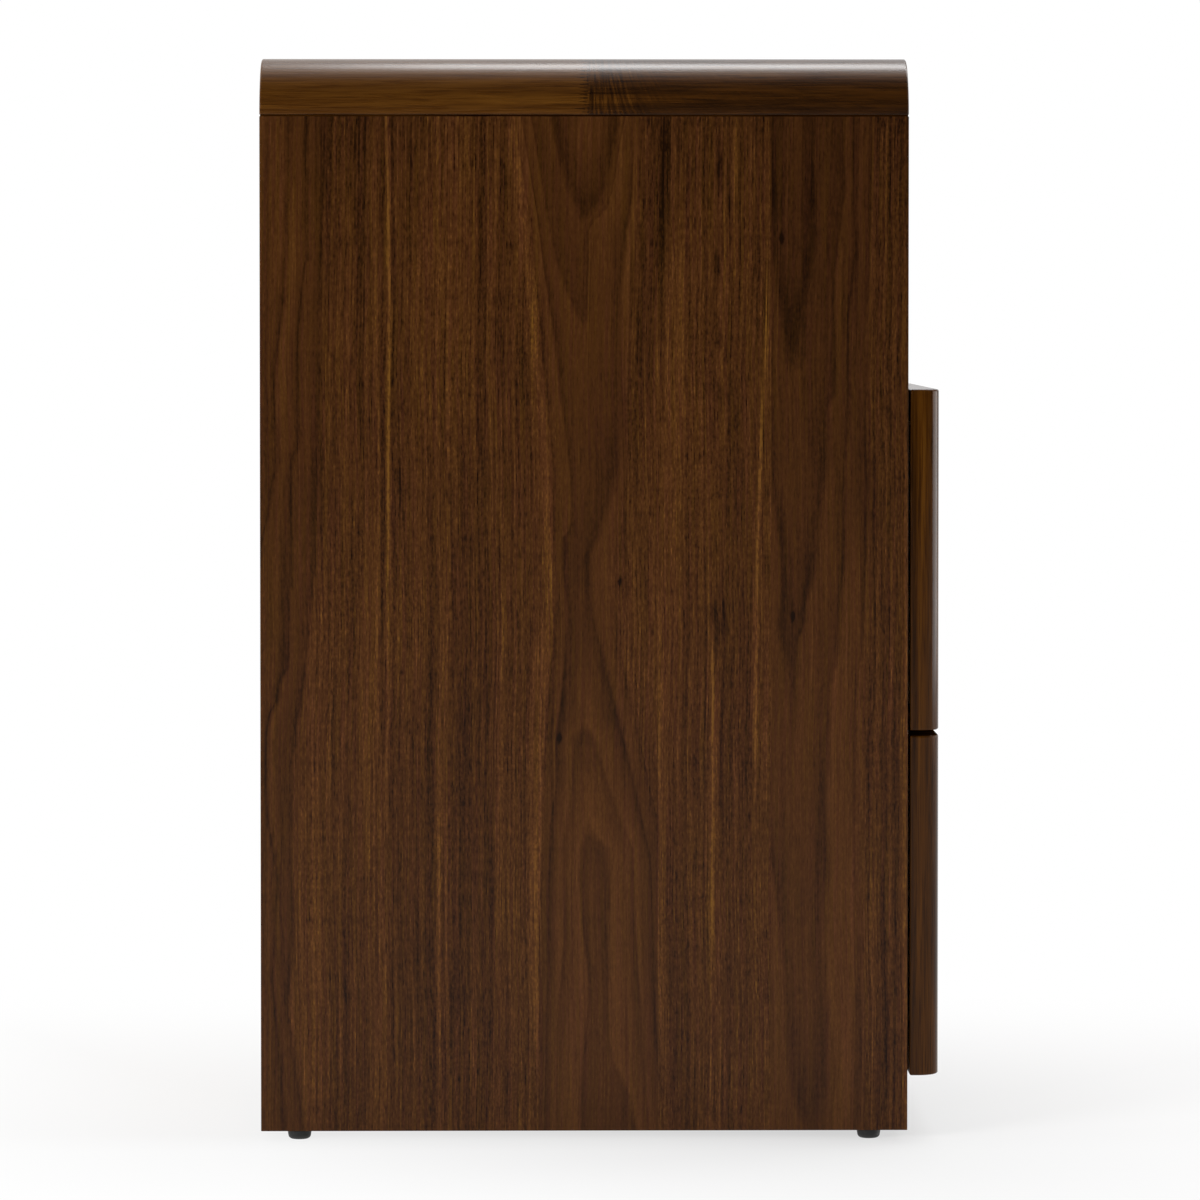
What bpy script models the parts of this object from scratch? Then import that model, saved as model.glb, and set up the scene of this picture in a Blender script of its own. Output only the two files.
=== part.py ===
"""Wide dresser with a rounded case, a row of inset drawers and two rows of proud handleless drawers.

Metres, +Z up. The origin is on the floor, under the middle of the whole dresser.
+X points to the right of someone who faces the fronts, and the fronts face -Y.
"""

import math

import bmesh
import bpy
from mathutils import Matrix, Vector

# Clearances
JOINT_GAP = 0.0003
FIT = 0.0003

# Case shell: sides, corner rails and top
CASE_DEPTH = 0.478
SHELL_THICKNESS = 0.025
CORNER_INNER_RADIUS = 0.018
TONGUE_THICKNESS = 0.007
TONGUE_LENGTH = 0.008
CORNER_STEPS = 14

# Inside of the case
BAY_WIDTH = 0.715
DIVIDER_THICKNESS = 0.020
DIVIDER_SETBACK = 0.002
BOTTOM_THICKNESS = 0.025
HOUSING_DEPTH = 0.006
BACK_THICKNESS = 0.006
BACK_INSET = 0.008
REBATE_DEPTH = 0.005
RAIL_THICKNESS = 0.022
RAIL_DEPTH = 0.060
RAIL_SETBACK = 0.060

# Feet
FOOT_HEIGHT = 0.007
FOOT_DIAMETER = 0.018
FOOT_EDGE_RADIUS = 0.003
FOOT_DRAFT = 0.0006
FOOT_INSET = 0.028
FOOT_STEPS = 24
FOOT_EDGE_STEPS = 3

# Heights of the front, from the underside of the case up
BASE_REVEAL = 0.0405
FRONT_HEIGHT = 0.252
ROW_GAP = 0.0037
FINGER_SLOT = 0.0218
UPPER_FRONT_HEIGHT = 0.195
UPPER_REVEAL = 0.003

# Drawer fronts
FRONT_THICKNESS = 0.0205
FRONT_STANDOFF = 0.0015
FRONT_END_INSET = 0.0005
FRONT_END_RADIUS = 0.015
FRONT_BACK_RADIUS = 0.004
FRONT_END_STEPS = 8
FRONT_BACK_STEPS = 4
FRONT_EASE = 0.0015
FRONT_GROOVE_DEPTH = 0.006
COLUMN_GAP = 0.0037
UPPER_RECESS = 0.004
UPPER_CORNER_STEPS = 6

# Drawer boxes
BOX_RISE = 0.018
BOX_DROP = 0.040
BOX_SIDE_CLEARANCE = 0.0015
BOX_REAR_CLEARANCE = 0.030
SIDE_WEB = 0.007
BOX_BACK_THICKNESS = 0.012
BOX_BACK_DROP = 0.008
BOX_BOTTOM_THICKNESS = 0.006
BOX_BOTTOM_RISE = 0.010
BOX_BOTTOM_GROOVE = 0.005

# Runners, and the grooves in the drawer sides that ride on them
RUNNER_HEIGHT = 0.016
RUNNER_GROOVE_DEPTH = 0.007
RUNNER_TIP_CLEARANCE = 0.0005
RUNNER_SEAT_GAP = 0.0003
RUNNER_UNDER_CLEARANCE = 0.0007
RUNNER_FRONT_SETBACK = 0.003
RUNNER_REAR_CLEARANCE = 0.020

# Places worked out from the sizes above: across the case
INNER_HALF = BAY_WIDTH + DIVIDER_THICKNESS / 2
OUTER_HALF = INNER_HALF + SHELL_THICKNESS
CORNER_RADIUS = CORNER_INNER_RADIUS + SHELL_THICKNESS
SEAM_X = OUTER_HALF - CORNER_RADIUS
DIVIDER_HALF = DIVIDER_THICKNESS / 2

# From the front to the back
BACK_Y = (CASE_DEPTH + FRONT_STANDOFF + FRONT_THICKNESS) / 2
CASE_FRONT_Y = BACK_Y - CASE_DEPTH
BACK_PANEL_Y = BACK_Y - BACK_INSET - BACK_THICKNESS
PROUD_BACK_Y = CASE_FRONT_Y - FRONT_STANDOFF
INSET_BACK_Y = CASE_FRONT_Y + UPPER_RECESS + FRONT_THICKNESS
BOX_REAR_Y = BACK_PANEL_Y - BOX_REAR_CLEARANCE
RUNNER_REAR_Y = BACK_PANEL_Y - RUNNER_REAR_CLEARANCE
DIVIDER_FRONT_Y = CASE_FRONT_Y + DIVIDER_SETBACK
RAIL_FRONT_Y = CASE_FRONT_Y + RAIL_SETBACK

# From the floor to the top
CASE_BOTTOM_Z = FOOT_HEIGHT
BOTTOM_TOP_Z = CASE_BOTTOM_Z + BOTTOM_THICKNESS
LOWER_Z = CASE_BOTTOM_Z + BASE_REVEAL
MIDDLE_Z = LOWER_Z + FRONT_HEIGHT + ROW_GAP
MIDDLE_TOP_Z = MIDDLE_Z + FRONT_HEIGHT
UPPER_Z = MIDDLE_TOP_Z + FINGER_SLOT
UNDER_TOP_Z = UPPER_Z + UPPER_FRONT_HEIGHT + UPPER_REVEAL
TOP_Z = UNDER_TOP_Z + SHELL_THICKNESS
SEAM_Z = TOP_Z - CORNER_RADIUS
RAIL_Z = MIDDLE_TOP_Z + FINGER_SLOT / 2

# Name, lower edge and height of each row's fronts, and the plane of their backs
ROWS = (
    ("lower", LOWER_Z, FRONT_HEIGHT, PROUD_BACK_Y),
    ("middle", MIDDLE_Z, FRONT_HEIGHT, PROUD_BACK_Y),
    ("upper", UPPER_Z, UPPER_FRONT_HEIGHT, INSET_BACK_Y),
)
COLUMNS = (("left", -1), ("right", 1))


# Scene and materials

def clear_scene():
    """Remove every object that the file starts with."""
    for thing in list(bpy.data.objects):
        bpy.data.objects.remove(thing, do_unlink=True)


def new_collection(name):
    """Collection of its own under the scene."""
    collection = bpy.data.collections.new(name)
    bpy.context.scene.collection.children.link(collection)
    return collection


def finish(name, colour, roughness, metallic=0.0):
    """Principled material with one colour."""
    material = bpy.data.materials.new(name)
    material.use_nodes = True
    shader = material.node_tree.nodes["Principled BSDF"]
    shader.inputs["Base Color"].default_value = (*colour, 1.0)
    shader.inputs["Roughness"].default_value = roughness
    shader.inputs["Metallic"].default_value = metallic
    material.diffuse_color = (*colour, 1.0)
    return material


clear_scene()
PARTS = new_collection("dresser")
CUTTERS = new_collection("dresser_cutters")
VENEER = finish("walnut_veneer", (0.058, 0.022, 0.008), 0.45)
SOLID_WOOD = finish("stained_solid_wood", (0.050, 0.019, 0.005), 0.40)
DRAWER_WOOD = finish("drawer_wood", (0.42, 0.27, 0.14), 0.55)
PLYWOOD = finish("plywood", (0.38, 0.25, 0.14), 0.60)
FOOT_PLASTIC = finish("foot_plastic", (0.010, 0.010, 0.010), 0.60)


# Building blocks

def place(piece, centre, material, parent=None, collection=PARTS):
    """Put a piece at a world point, carried by its parent empty where it has one."""
    collection.objects.link(piece)
    piece.location = centre
    if parent is not None:
        piece.parent = parent
        piece.location = Vector(centre) - parent.location
    if material is not None:
        piece.data.materials.append(material)
    return piece


def box(name, x_range, y_range, z_range, material, parent=None, collection=PARTS):
    """Rectangular board between three pairs of limits, with its origin at its centre."""
    lows, highs = zip(*(sorted(limits) for limits in (x_range, y_range, z_range)))
    size = [high - low for low, high in zip(lows, highs)]
    centre = [(high + low) / 2 for low, high in zip(lows, highs)]
    shape = bmesh.new()
    bmesh.ops.create_cube(shape, size=1.0, matrix=Matrix.Diagonal((*size, 1.0)))
    mesh = bpy.data.meshes.new(name)
    shape.to_mesh(mesh)
    shape.free()
    return place(bpy.data.objects.new(name, mesh), centre, material, parent, collection)


def weld(mesh):
    """Join the walls of a thickened outline and close each end with one flat face."""
    shape = bmesh.new()
    shape.from_mesh(mesh)
    bmesh.ops.remove_doubles(shape, verts=shape.verts, dist=0.00001)
    ends = [face for face in shape.faces if len({corner.co.z > 0.0 for corner in face.verts}) == 1]
    bmesh.ops.delete(shape, geom=ends, context="FACES")
    bmesh.ops.holes_fill(shape, edges=shape.edges, sides=0)
    bmesh.ops.recalc_face_normals(shape, faces=shape.faces)
    shape.to_mesh(mesh)
    shape.free()


def extruded(name, outline, axis, low, high, material, parent=None, collection=PARTS):
    """Flat outline thickened from low to high: (x, y) points along Z, or (x, z) points along Y."""
    middle = [(min(values) + max(values)) / 2 for values in zip(*outline)]
    curve = bpy.data.curves.new(name, "CURVE")
    curve.dimensions = "2D"
    curve.fill_mode = "BOTH"
    curve.extrude = (high - low) / 2
    spline = curve.splines.new("POLY")
    spline.points.add(len(outline) - 1)
    for point, (across, along) in zip(spline.points, outline):
        point.co = (across - middle[0], along - middle[1], 0.0, 1.0)
    spline.use_cyclic_u = True
    drawn = bpy.data.objects.new(name + "_outline", curve)
    bpy.context.scene.collection.objects.link(drawn)
    centre = (middle[0], middle[1], (low + high) / 2)
    if axis == "Y":
        drawn.rotation_euler = (math.pi / 2, 0.0, 0.0)
        centre = (middle[0], (low + high) / 2, middle[1])
    bpy.context.view_layer.update()
    evaluated = drawn.evaluated_get(bpy.context.evaluated_depsgraph_get())
    mesh = bpy.data.meshes.new_from_object(evaluated)
    mesh.name = name
    weld(mesh)
    piece = bpy.data.objects.new(name, mesh)
    piece.matrix_world = drawn.matrix_world
    bpy.data.objects.remove(drawn)
    bpy.data.curves.remove(curve)
    return place(piece, centre, material, parent, collection)


def arc(centre, radius, start, end, steps):
    """Points along a round corner, with angles in degrees."""
    angles = [math.radians(start + (end - start) * step / steps) for step in range(steps + 1)]
    return [(centre[0] + radius * math.cos(angle), centre[1] + radius * math.sin(angle)) for angle in angles]


def mirrored(outline, side):
    """Outline drawn for the right side (side 1), or flipped over for the left side (side -1)."""
    return [(side * across, along) for across, along in outline]


def make_cutter(cutter):
    """Keep a cutting shape out of the finished object."""
    cutter.hide_render = True
    cutter.display_type = "WIRE"
    return cutter


def cut(piece, cutter):
    """Take a cutter's shape out of a piece."""
    boolean = piece.modifiers.new("cut", "BOOLEAN")
    boolean.operation = "DIFFERENCE"
    boolean.object = cutter


def ease(piece, width):
    """Round every sharp edge of a piece slightly."""
    bevel = piece.modifiers.new("ease", "BEVEL")
    bevel.width = width
    bevel.segments = 2
    bevel.limit_method = "ANGLE"
    bevel.angle_limit = math.radians(40.0)


# Case

def back_outline(clearance):
    """Inside of the case grown by the rebate and less a clearance, with round top corners."""
    half = INNER_HALF + REBATE_DEPTH - clearance
    low = BOTTOM_TOP_Z - REBATE_DEPTH + clearance
    high = UNDER_TOP_Z + REBATE_DEPTH - clearance
    radius = CORNER_INNER_RADIUS + REBATE_DEPTH - clearance
    right = arc((half - radius, high - radius), radius, 0.0, 90.0, CORNER_STEPS)
    left = arc((radius - half, high - radius), radius, 90.0, 180.0, CORNER_STEPS)
    return [(-half, low), (half, low), *right, *left]


def side_panel(name, side, rebate):
    """Upright panel with a tongue on its top edge and a housing for the bottom panel at its foot."""
    tongue_low = INNER_HALF + (SHELL_THICKNESS - TONGUE_THICKNESS) / 2
    tongue_high = tongue_low + TONGUE_THICKNESS
    edge = SEAM_Z - JOINT_GAP
    outline = [
        (INNER_HALF + HOUSING_DEPTH, CASE_BOTTOM_Z),
        (OUTER_HALF, CASE_BOTTOM_Z),
        (OUTER_HALF, edge),
        (tongue_high, edge),
        (tongue_high, edge + TONGUE_LENGTH),
        (tongue_low, edge + TONGUE_LENGTH),
        (tongue_low, edge),
        (INNER_HALF, edge),
        (INNER_HALF, BOTTOM_TOP_Z + JOINT_GAP),
        (INNER_HALF + HOUSING_DEPTH, BOTTOM_TOP_Z + JOINT_GAP),
    ]
    piece = extruded(name, mirrored(outline, side), "Y", CASE_FRONT_Y, BACK_Y, VENEER)
    cut(piece, rebate)


def corner_rail(name, side, rebate):
    """Quarter-round rail between a side and the top, grooved for the tongues of both."""
    groove_low = CORNER_INNER_RADIUS + (SHELL_THICKNESS - TONGUE_THICKNESS) / 2 - FIT
    groove_high = groove_low + TONGUE_THICKNESS + 2 * FIT
    groove_end = TONGUE_LENGTH + FIT
    around_centre = [
        *arc((0.0, 0.0), CORNER_RADIUS, 0.0, 90.0, CORNER_STEPS),
        (0.0, groove_high),
        (groove_end, groove_high),
        (groove_end, groove_low),
        (0.0, groove_low),
        *arc((0.0, 0.0), CORNER_INNER_RADIUS, 90.0, 0.0, CORNER_STEPS),
        (groove_low, 0.0),
        (groove_low, groove_end),
        (groove_high, groove_end),
        (groove_high, 0.0),
    ]
    outline = [(SEAM_X + across, SEAM_Z + along) for across, along in around_centre]
    piece = extruded(name, mirrored(outline, side), "Y", CASE_FRONT_Y, BACK_Y, SOLID_WOOD)
    cut(piece, rebate)


def top_panel(rebate):
    """Top between the corner rails, with a tongue at each end and a housing for the divider below."""
    tongue_low = UNDER_TOP_Z + (SHELL_THICKNESS - TONGUE_THICKNESS) / 2
    tongue_high = tongue_low + TONGUE_THICKNESS
    end = SEAM_X - JOINT_GAP
    housing = DIVIDER_HALF + FIT
    right = [
        (housing, UNDER_TOP_Z + HOUSING_DEPTH),
        (housing, UNDER_TOP_Z),
        (end, UNDER_TOP_Z),
        (end, tongue_low),
        (end + TONGUE_LENGTH, tongue_low),
        (end + TONGUE_LENGTH, tongue_high),
        (end, tongue_high),
        (end, TOP_Z),
    ]
    left = mirrored(reversed(right), -1)
    piece = extruded("top_panel", right + left, "Y", CASE_FRONT_Y, BACK_Y, VENEER)
    cut(piece, rebate)


def bottom_panel(rebate):
    """Bottom held in the housings of both sides, with a housing for the divider above."""
    end = INNER_HALF + HOUSING_DEPTH - FIT
    housing = DIVIDER_HALF + FIT
    floor = BOTTOM_TOP_Z - HOUSING_DEPTH
    right = [
        (end, CASE_BOTTOM_Z),
        (end, BOTTOM_TOP_Z),
        (housing, BOTTOM_TOP_Z),
        (housing, floor),
    ]
    left = mirrored(reversed(right), -1)
    piece = extruded("bottom_panel", right + left, "Y", CASE_FRONT_Y, BACK_Y, VENEER)
    cut(piece, rebate)


def back_panel():
    """Thin board in the rebate round the back of the case."""
    extruded("back_panel", back_outline(FIT), "Y", BACK_PANEL_Y, BACK_PANEL_Y + BACK_THICKNESS, PLYWOOD)


def centre_divider():
    """Upright board between the two bays, housed in the top and the bottom."""
    box(
        "centre_divider",
        (-DIVIDER_HALF, DIVIDER_HALF),
        (DIVIDER_FRONT_Y, BACK_PANEL_Y - JOINT_GAP),
        (BOTTOM_TOP_Z - HOUSING_DEPTH + FIT, UNDER_TOP_Z + HOUSING_DEPTH - FIT),
        VENEER,
    )


def drawer_rail(name, side):
    """Flat rail across one bay, set back behind the finger slot under the upper drawer."""
    box(
        name,
        (side * (DIVIDER_HALF + JOINT_GAP), side * (INNER_HALF - JOINT_GAP)),
        (RAIL_FRONT_Y, RAIL_FRONT_Y + RAIL_DEPTH),
        (RAIL_Z - RAIL_THICKNESS / 2, RAIL_Z + RAIL_THICKNESS / 2),
        SOLID_WOOD,
    )


def foot_profile():
    """Half section of a foot, from the middle of its top, down its side, to the middle of its sole."""
    radius = FOOT_DIAMETER / 2
    sole_radius = radius - FOOT_DRAFT
    round_centre = (sole_radius - FOOT_EDGE_RADIUS, FOOT_EDGE_RADIUS)
    edge = arc(round_centre, FOOT_EDGE_RADIUS, 0.0, -90.0, FOOT_EDGE_STEPS)
    top = FOOT_HEIGHT - JOINT_GAP
    return [(0.0, top), (radius, top), *edge, (0.0, 0.0)]


def foot(name, x, y):
    """Turned foot that stands on the floor under one point of the case."""
    points = [(across, 0.0, height) for across, height in foot_profile()]
    edges = [(first, first + 1) for first in range(len(points) - 1)]
    mesh = bpy.data.meshes.new(name)
    mesh.from_pydata(points, edges, [])
    piece = place(bpy.data.objects.new(name, mesh), (x, y, 0.0), FOOT_PLASTIC)
    turn = piece.modifiers.new("turn", "SCREW")
    turn.axis = "Z"
    turn.steps = FOOT_STEPS
    turn.render_steps = FOOT_STEPS
    turn.use_merge_vertices = True
    turn.merge_threshold = 0.00001
    turn.use_smooth_shade = True


def feet():
    """Front and back feet under both sides and under the middle."""
    under_side = OUTER_HALF - SHELL_THICKNESS / 2
    for depth_name, y in (("front", CASE_FRONT_Y + FOOT_INSET), ("back", BACK_Y - FOOT_INSET)):
        for side_name, x in (("left", -under_side), ("centre", 0.0), ("right", under_side)):
            foot(f"foot_{depth_name}_{side_name}", x, y)


# Drawers and their runners

def box_heights(front_low, front_height):
    """Lower and upper edge of the box behind a front."""
    return front_low + BOX_RISE, front_low + front_height - BOX_DROP


def runner_heights(front_low, front_height):
    """Lower and upper face of the runners, halfway up the box."""
    low, high = box_heights(front_low, front_height)
    middle = (low + high) / 2
    return middle - RUNNER_HEIGHT / 2, middle + RUNNER_HEIGHT / 2


def runner_pair(name, side, row):
    """Strips on the side panel and on the divider that carry one drawer."""
    _, front_low, front_height, front_back = row
    reach = BOX_SIDE_CLEARANCE + RUNNER_GROOVE_DEPTH - RUNNER_TIP_CLEARANCE
    low, high = runner_heights(front_low, front_height)
    start = max(front_back, CASE_FRONT_Y) + RUNNER_FRONT_SETBACK
    for place_name, wall, towards in (("outer", INNER_HALF, -1), ("inner", DIVIDER_HALF, 1)):
        box(
            f"runner_{name}_{place_name}",
            (side * (wall + towards * JOINT_GAP), side * (wall + towards * reach)),
            (start, RUNNER_REAR_Y),
            (low, high),
            DRAWER_WOOD,
        )


def proud_front(name, side, row, carrier):
    """Front that stands before the case edge, round at its outer end and eased elsewhere."""
    _, low, height, back = row
    face = back - FRONT_THICKNESS
    end = OUTER_HALF - FRONT_END_INSET
    start = COLUMN_GAP / 2
    end_radius = min(FRONT_END_RADIUS, FRONT_THICKNESS - FRONT_BACK_RADIUS - FRONT_EASE)
    outline = [
        (start, back),
        (start, face),
        *arc((end - end_radius, face + end_radius), end_radius, -90.0, 0.0, FRONT_END_STEPS),
        *arc((end - FRONT_BACK_RADIUS, back - FRONT_BACK_RADIUS), FRONT_BACK_RADIUS, 0.0, 90.0, FRONT_BACK_STEPS),
    ]
    return extruded(name, mirrored(outline, side), "Z", low, low + height, VENEER, carrier)


def inset_front(name, side, row, carrier):
    """Front that closes inside the case, with its upper outer corner following the corner rail."""
    _, low, height, back = row
    start = DIVIDER_HALF + UPPER_REVEAL
    end = INNER_HALF - UPPER_REVEAL
    high = low + height
    radius = CORNER_INNER_RADIUS - UPPER_REVEAL
    outline = [
        (start, low),
        (end, low),
        *arc((end - radius, high - radius), radius, 0.0, 90.0, UPPER_CORNER_STEPS),
        (start, high),
    ]
    return extruded(name, mirrored(outline, side), "Y", back - FRONT_THICKNESS, back, VENEER, carrier)


def groove_front(front, x_range, z_range, back, carrier):
    """Cut the groove in the back of a front that takes the drawer bottom."""
    cutter = box(
        front.name + "_groove",
        (min(x_range) - FIT, max(x_range) + FIT),
        (back - FRONT_GROOVE_DEPTH, back + FRONT_GROOVE_DEPTH),
        (z_range[0] - FIT, z_range[1] + FIT),
        None,
        carrier,
        CUTTERS,
    )
    cut(front, make_cutter(cutter))


def box_side(name, outer_x, inwards, heights, row, carrier):
    """Drawer side with a groove for its runner outside and a groove for the drawer bottom inside."""
    low, high = heights
    runner_low, runner_high = runner_heights(row[1], row[2])
    groove_low = runner_low - RUNNER_UNDER_CLEARANCE
    groove_high = runner_high + RUNNER_SEAT_GAP
    thickness = RUNNER_GROOVE_DEPTH + SIDE_WEB
    bottom_low = low + BOX_BOTTOM_RISE - FIT
    bottom_high = low + BOX_BOTTOM_RISE + BOX_BOTTOM_THICKNESS + FIT
    depths = [
        (0.0, low),
        (thickness, low),
        (thickness, bottom_low),
        (thickness - BOX_BOTTOM_GROOVE, bottom_low),
        (thickness - BOX_BOTTOM_GROOVE, bottom_high),
        (thickness, bottom_high),
        (thickness, high),
        (0.0, high),
        (0.0, groove_high),
        (RUNNER_GROOVE_DEPTH, groove_high),
        (RUNNER_GROOVE_DEPTH, groove_low),
        (0.0, groove_low),
    ]
    outline = [(outer_x + inwards * depth, height) for depth, height in depths]
    extruded(name, outline, "Y", row[3] + JOINT_GAP, BOX_REAR_Y, DRAWER_WOOD, carrier)


def drawer(name, side, row):
    """Front, two sides, back and bottom of one drawer, carried by an empty on its line of travel."""
    row_name, front_low, front_height, front_back = row
    low, high = box_heights(front_low, front_height)
    bay_low, bay_high = sorted((side * DIVIDER_HALF, side * INNER_HALF))
    left_x = bay_low + BOX_SIDE_CLEARANCE
    right_x = bay_high - BOX_SIDE_CLEARANCE
    thickness = RUNNER_GROOVE_DEPTH + SIDE_WEB
    inside = (left_x + thickness, right_x - thickness)

    carrier = bpy.data.objects.new(name, None)
    PARTS.objects.link(carrier)
    carrier.location = ((bay_low + bay_high) / 2, front_back, (low + high) / 2)

    bottom_x = (inside[0] - BOX_BOTTOM_GROOVE + FIT, inside[1] + BOX_BOTTOM_GROOVE - FIT)
    bottom_z = (low + BOX_BOTTOM_RISE, low + BOX_BOTTOM_RISE + BOX_BOTTOM_THICKNESS)
    make_front = inset_front if row_name == "upper" else proud_front
    front = make_front(f"{name}_front", side, row, carrier)
    ease(front, FRONT_EASE)
    groove_front(front, bottom_x, bottom_z, front_back, carrier)

    box_side(f"{name}_side_left", left_x, 1, (low, high), row, carrier)
    box_side(f"{name}_side_right", right_x, -1, (low, high), row, carrier)
    box(
        f"{name}_back",
        (inside[0] + JOINT_GAP, inside[1] - JOINT_GAP),
        (BOX_REAR_Y - BOX_BACK_THICKNESS, BOX_REAR_Y),
        (bottom_z[1] + JOINT_GAP, high - BOX_BACK_DROP),
        DRAWER_WOOD,
        carrier,
    )
    box(
        f"{name}_bottom",
        bottom_x,
        (front_back - FRONT_GROOVE_DEPTH + FIT, BOX_REAR_Y),
        bottom_z,
        PLYWOOD,
        carrier,
    )


def case():
    """Shell, bottom, back, divider, rails and feet."""
    rebate = extruded(
        "back_rebate",
        back_outline(0.0),
        "Y",
        BACK_PANEL_Y - FIT,
        BACK_Y + BACK_INSET,
        None,
        collection=CUTTERS,
    )
    make_cutter(rebate)
    for name, side in COLUMNS:
        side_panel(f"side_panel_{name}", side, rebate)
        corner_rail(f"corner_rail_{name}", side, rebate)
        drawer_rail(f"drawer_rail_{name}", side)
    top_panel(rebate)
    bottom_panel(rebate)
    back_panel()
    centre_divider()
    feet()


def drawers():
    """Every drawer with its pair of runners."""
    for row in ROWS:
        for column, side in COLUMNS:
            name = f"{row[0]}_{column}"
            runner_pair(name, side, row)
            drawer(f"drawer_{name}", side, row)


case()
drawers()
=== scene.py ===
"""Visual model of the dresser: eased boards, round corner rails and fronts, walnut veneer and studio.

Metres, +Z up, fronts facing -Y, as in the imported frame. The photo looks along +X at the left side.
"""

import bpy
import numpy as np
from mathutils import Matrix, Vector

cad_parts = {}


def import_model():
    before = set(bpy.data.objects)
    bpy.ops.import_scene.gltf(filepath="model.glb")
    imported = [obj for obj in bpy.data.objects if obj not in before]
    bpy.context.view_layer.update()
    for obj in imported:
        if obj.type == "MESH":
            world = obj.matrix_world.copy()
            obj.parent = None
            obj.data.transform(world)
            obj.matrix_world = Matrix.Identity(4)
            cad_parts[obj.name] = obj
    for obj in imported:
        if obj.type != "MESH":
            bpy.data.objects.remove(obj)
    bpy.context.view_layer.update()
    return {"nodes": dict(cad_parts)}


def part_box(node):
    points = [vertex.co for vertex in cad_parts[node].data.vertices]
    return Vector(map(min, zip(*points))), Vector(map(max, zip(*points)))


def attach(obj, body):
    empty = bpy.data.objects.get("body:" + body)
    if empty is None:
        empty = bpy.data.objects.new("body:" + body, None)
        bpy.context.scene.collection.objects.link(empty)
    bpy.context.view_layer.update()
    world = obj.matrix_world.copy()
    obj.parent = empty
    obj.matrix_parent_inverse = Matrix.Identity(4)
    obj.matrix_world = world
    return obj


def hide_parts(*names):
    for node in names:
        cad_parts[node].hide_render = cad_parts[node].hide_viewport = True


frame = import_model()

# Places in the frame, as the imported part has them
OUTER_HALF = 0.750
INNER_HALF = 0.725
CASE_FRONT = -0.228
CASE_BACK = 0.250
CASE_BOTTOM = 0.007
BOTTOM_TOP = 0.032
UNDER_TOP = 0.775
TOP = 0.800
CORNER_RADIUS = 0.043
CORNER_INNER_RADIUS = 0.018
SEAM_X = 0.707
SEAM_Z = 0.757
JOINT_GAP = 0.0003
SEAM_BELOW = 0.0008
SEAM_ABOVE = 0.0006
SEAM_DEPTH = 0.0022
TONGUE_THICKNESS = 0.012
TONGUE_REACH = 0.002
TONGUE_INSET = 0.0004
DIVIDER_HALF = 0.010
DIVIDER_FRONT = -0.226
BACK_PANEL_FRONT = 0.236

# Drawers
ROWS = ("lower", "middle", "upper")
COLUMNS = (("left", -1), ("right", 1))
END_STRIP = 0.022
END_RADIUS = 0.015
END_PROUD = 0.0015
FRONT_BACK = -0.2295
GAP_FACE = 0.0005
UPPER_CORNER_RADIUS = 0.015
RUNNER_GROOVE = 0.007
RUNNER_UNDER = 0.0007
SIDE_THICKNESS = 0.014
BOTTOM_GROOVE = 0.005

# Finger joint in the rails
FINGER_PLACE = 0.0065
FINGER_LENGTH = 0.010
FINGER_PITCH = 0.0026

# Feet
FOOT_RADIUS = 0.009
FOOT_HEIGHT = 0.0067
FOOT_EDGE = 0.003
FOOT_DRAFT = 0.0006

# Softening of edges, for a board in each direction where it differs
EDGE_EASE = 0.0015
RUNNER_EASE = 0.001
THIN_EASE = 0.0004
SEAM_EASE = 0.0002
SIDE_EASE = (0.001, 0.001, 0.0003)
TOP_EASE = (0.0004, 0.0015, 0.0015)
INNER_EASE = (0.001, 0.001, 0.001)
FRONT_CORNER = 0.002
BOX_LOWER_EDGE = 0.001
BOX_UPPER_EDGE = 0.002
BOX_END_EASE = 0.0003

# Fineness of the surfaces: distances of grid lines, and steps in a rounding
GRID = 0.006
SIDE_GRID = (GRID, 0.0025, 0.005)
TOP_GRID = (0.012, GRID, GRID)
INSET_GRID = (0.010, GRID, 0.010)
BOTTOM_GRID = (0.03, 0.02, 0.02)
DIVIDER_GRID = (0.02, 0.02, 0.02)
PLAIN_GRID = (0.05, 0.05, 0.05)
RAIL_GRID = 0.02
PROUD_GRID = 0.010
BOX_GRID = 0.05
EASE_STEPS = 3
FRONT_CORNER_STEPS = 10
GROOVE_CORNER_STEPS = 3
RAIL_STEPS = 48
FOOT_STEPS = 48

# Veneer: widths of the lying leaves, and first numbers of their random draws
TOP_LEAF = 0.1195
PROUD_LEAF = 0.126
INSET_LEAF = 0.0975
TOP_SEED = 100
BOTTOM_SEED = 200
DIVIDER_SEED = 300
PROUD_SEED = 400
INSET_SEED = 500


# Surfaces: each is (points, faces, normals), the normals one to a point

def grid_lines(low, high, ease, spacing, extra):
    """Stations along one side of a board: close together over the eased ends, even between them."""
    count = max(1, int(np.ceil((high - low - 2 * ease) / spacing)))
    middle = np.linspace(low + ease, high - ease, count + 1)
    end = ease * np.tan(np.linspace(0.0, np.pi / 4, EASE_STEPS + 1)[1:])
    lines = np.concatenate([low + ease - end, middle, high - ease + end, np.asarray(extra, float)])
    return np.unique(np.round(lines, 7))


def sheet_faces(rows, columns, start):
    """Quads of a grid of rows by columns of points whose first point has number start."""
    first = start + np.arange(rows - 1)[:, None] * columns + np.arange(columns - 1)[None, :]
    return np.stack([first, first + columns, first + columns + 1, first + 1], axis=-1).reshape(-1, 4)


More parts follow.
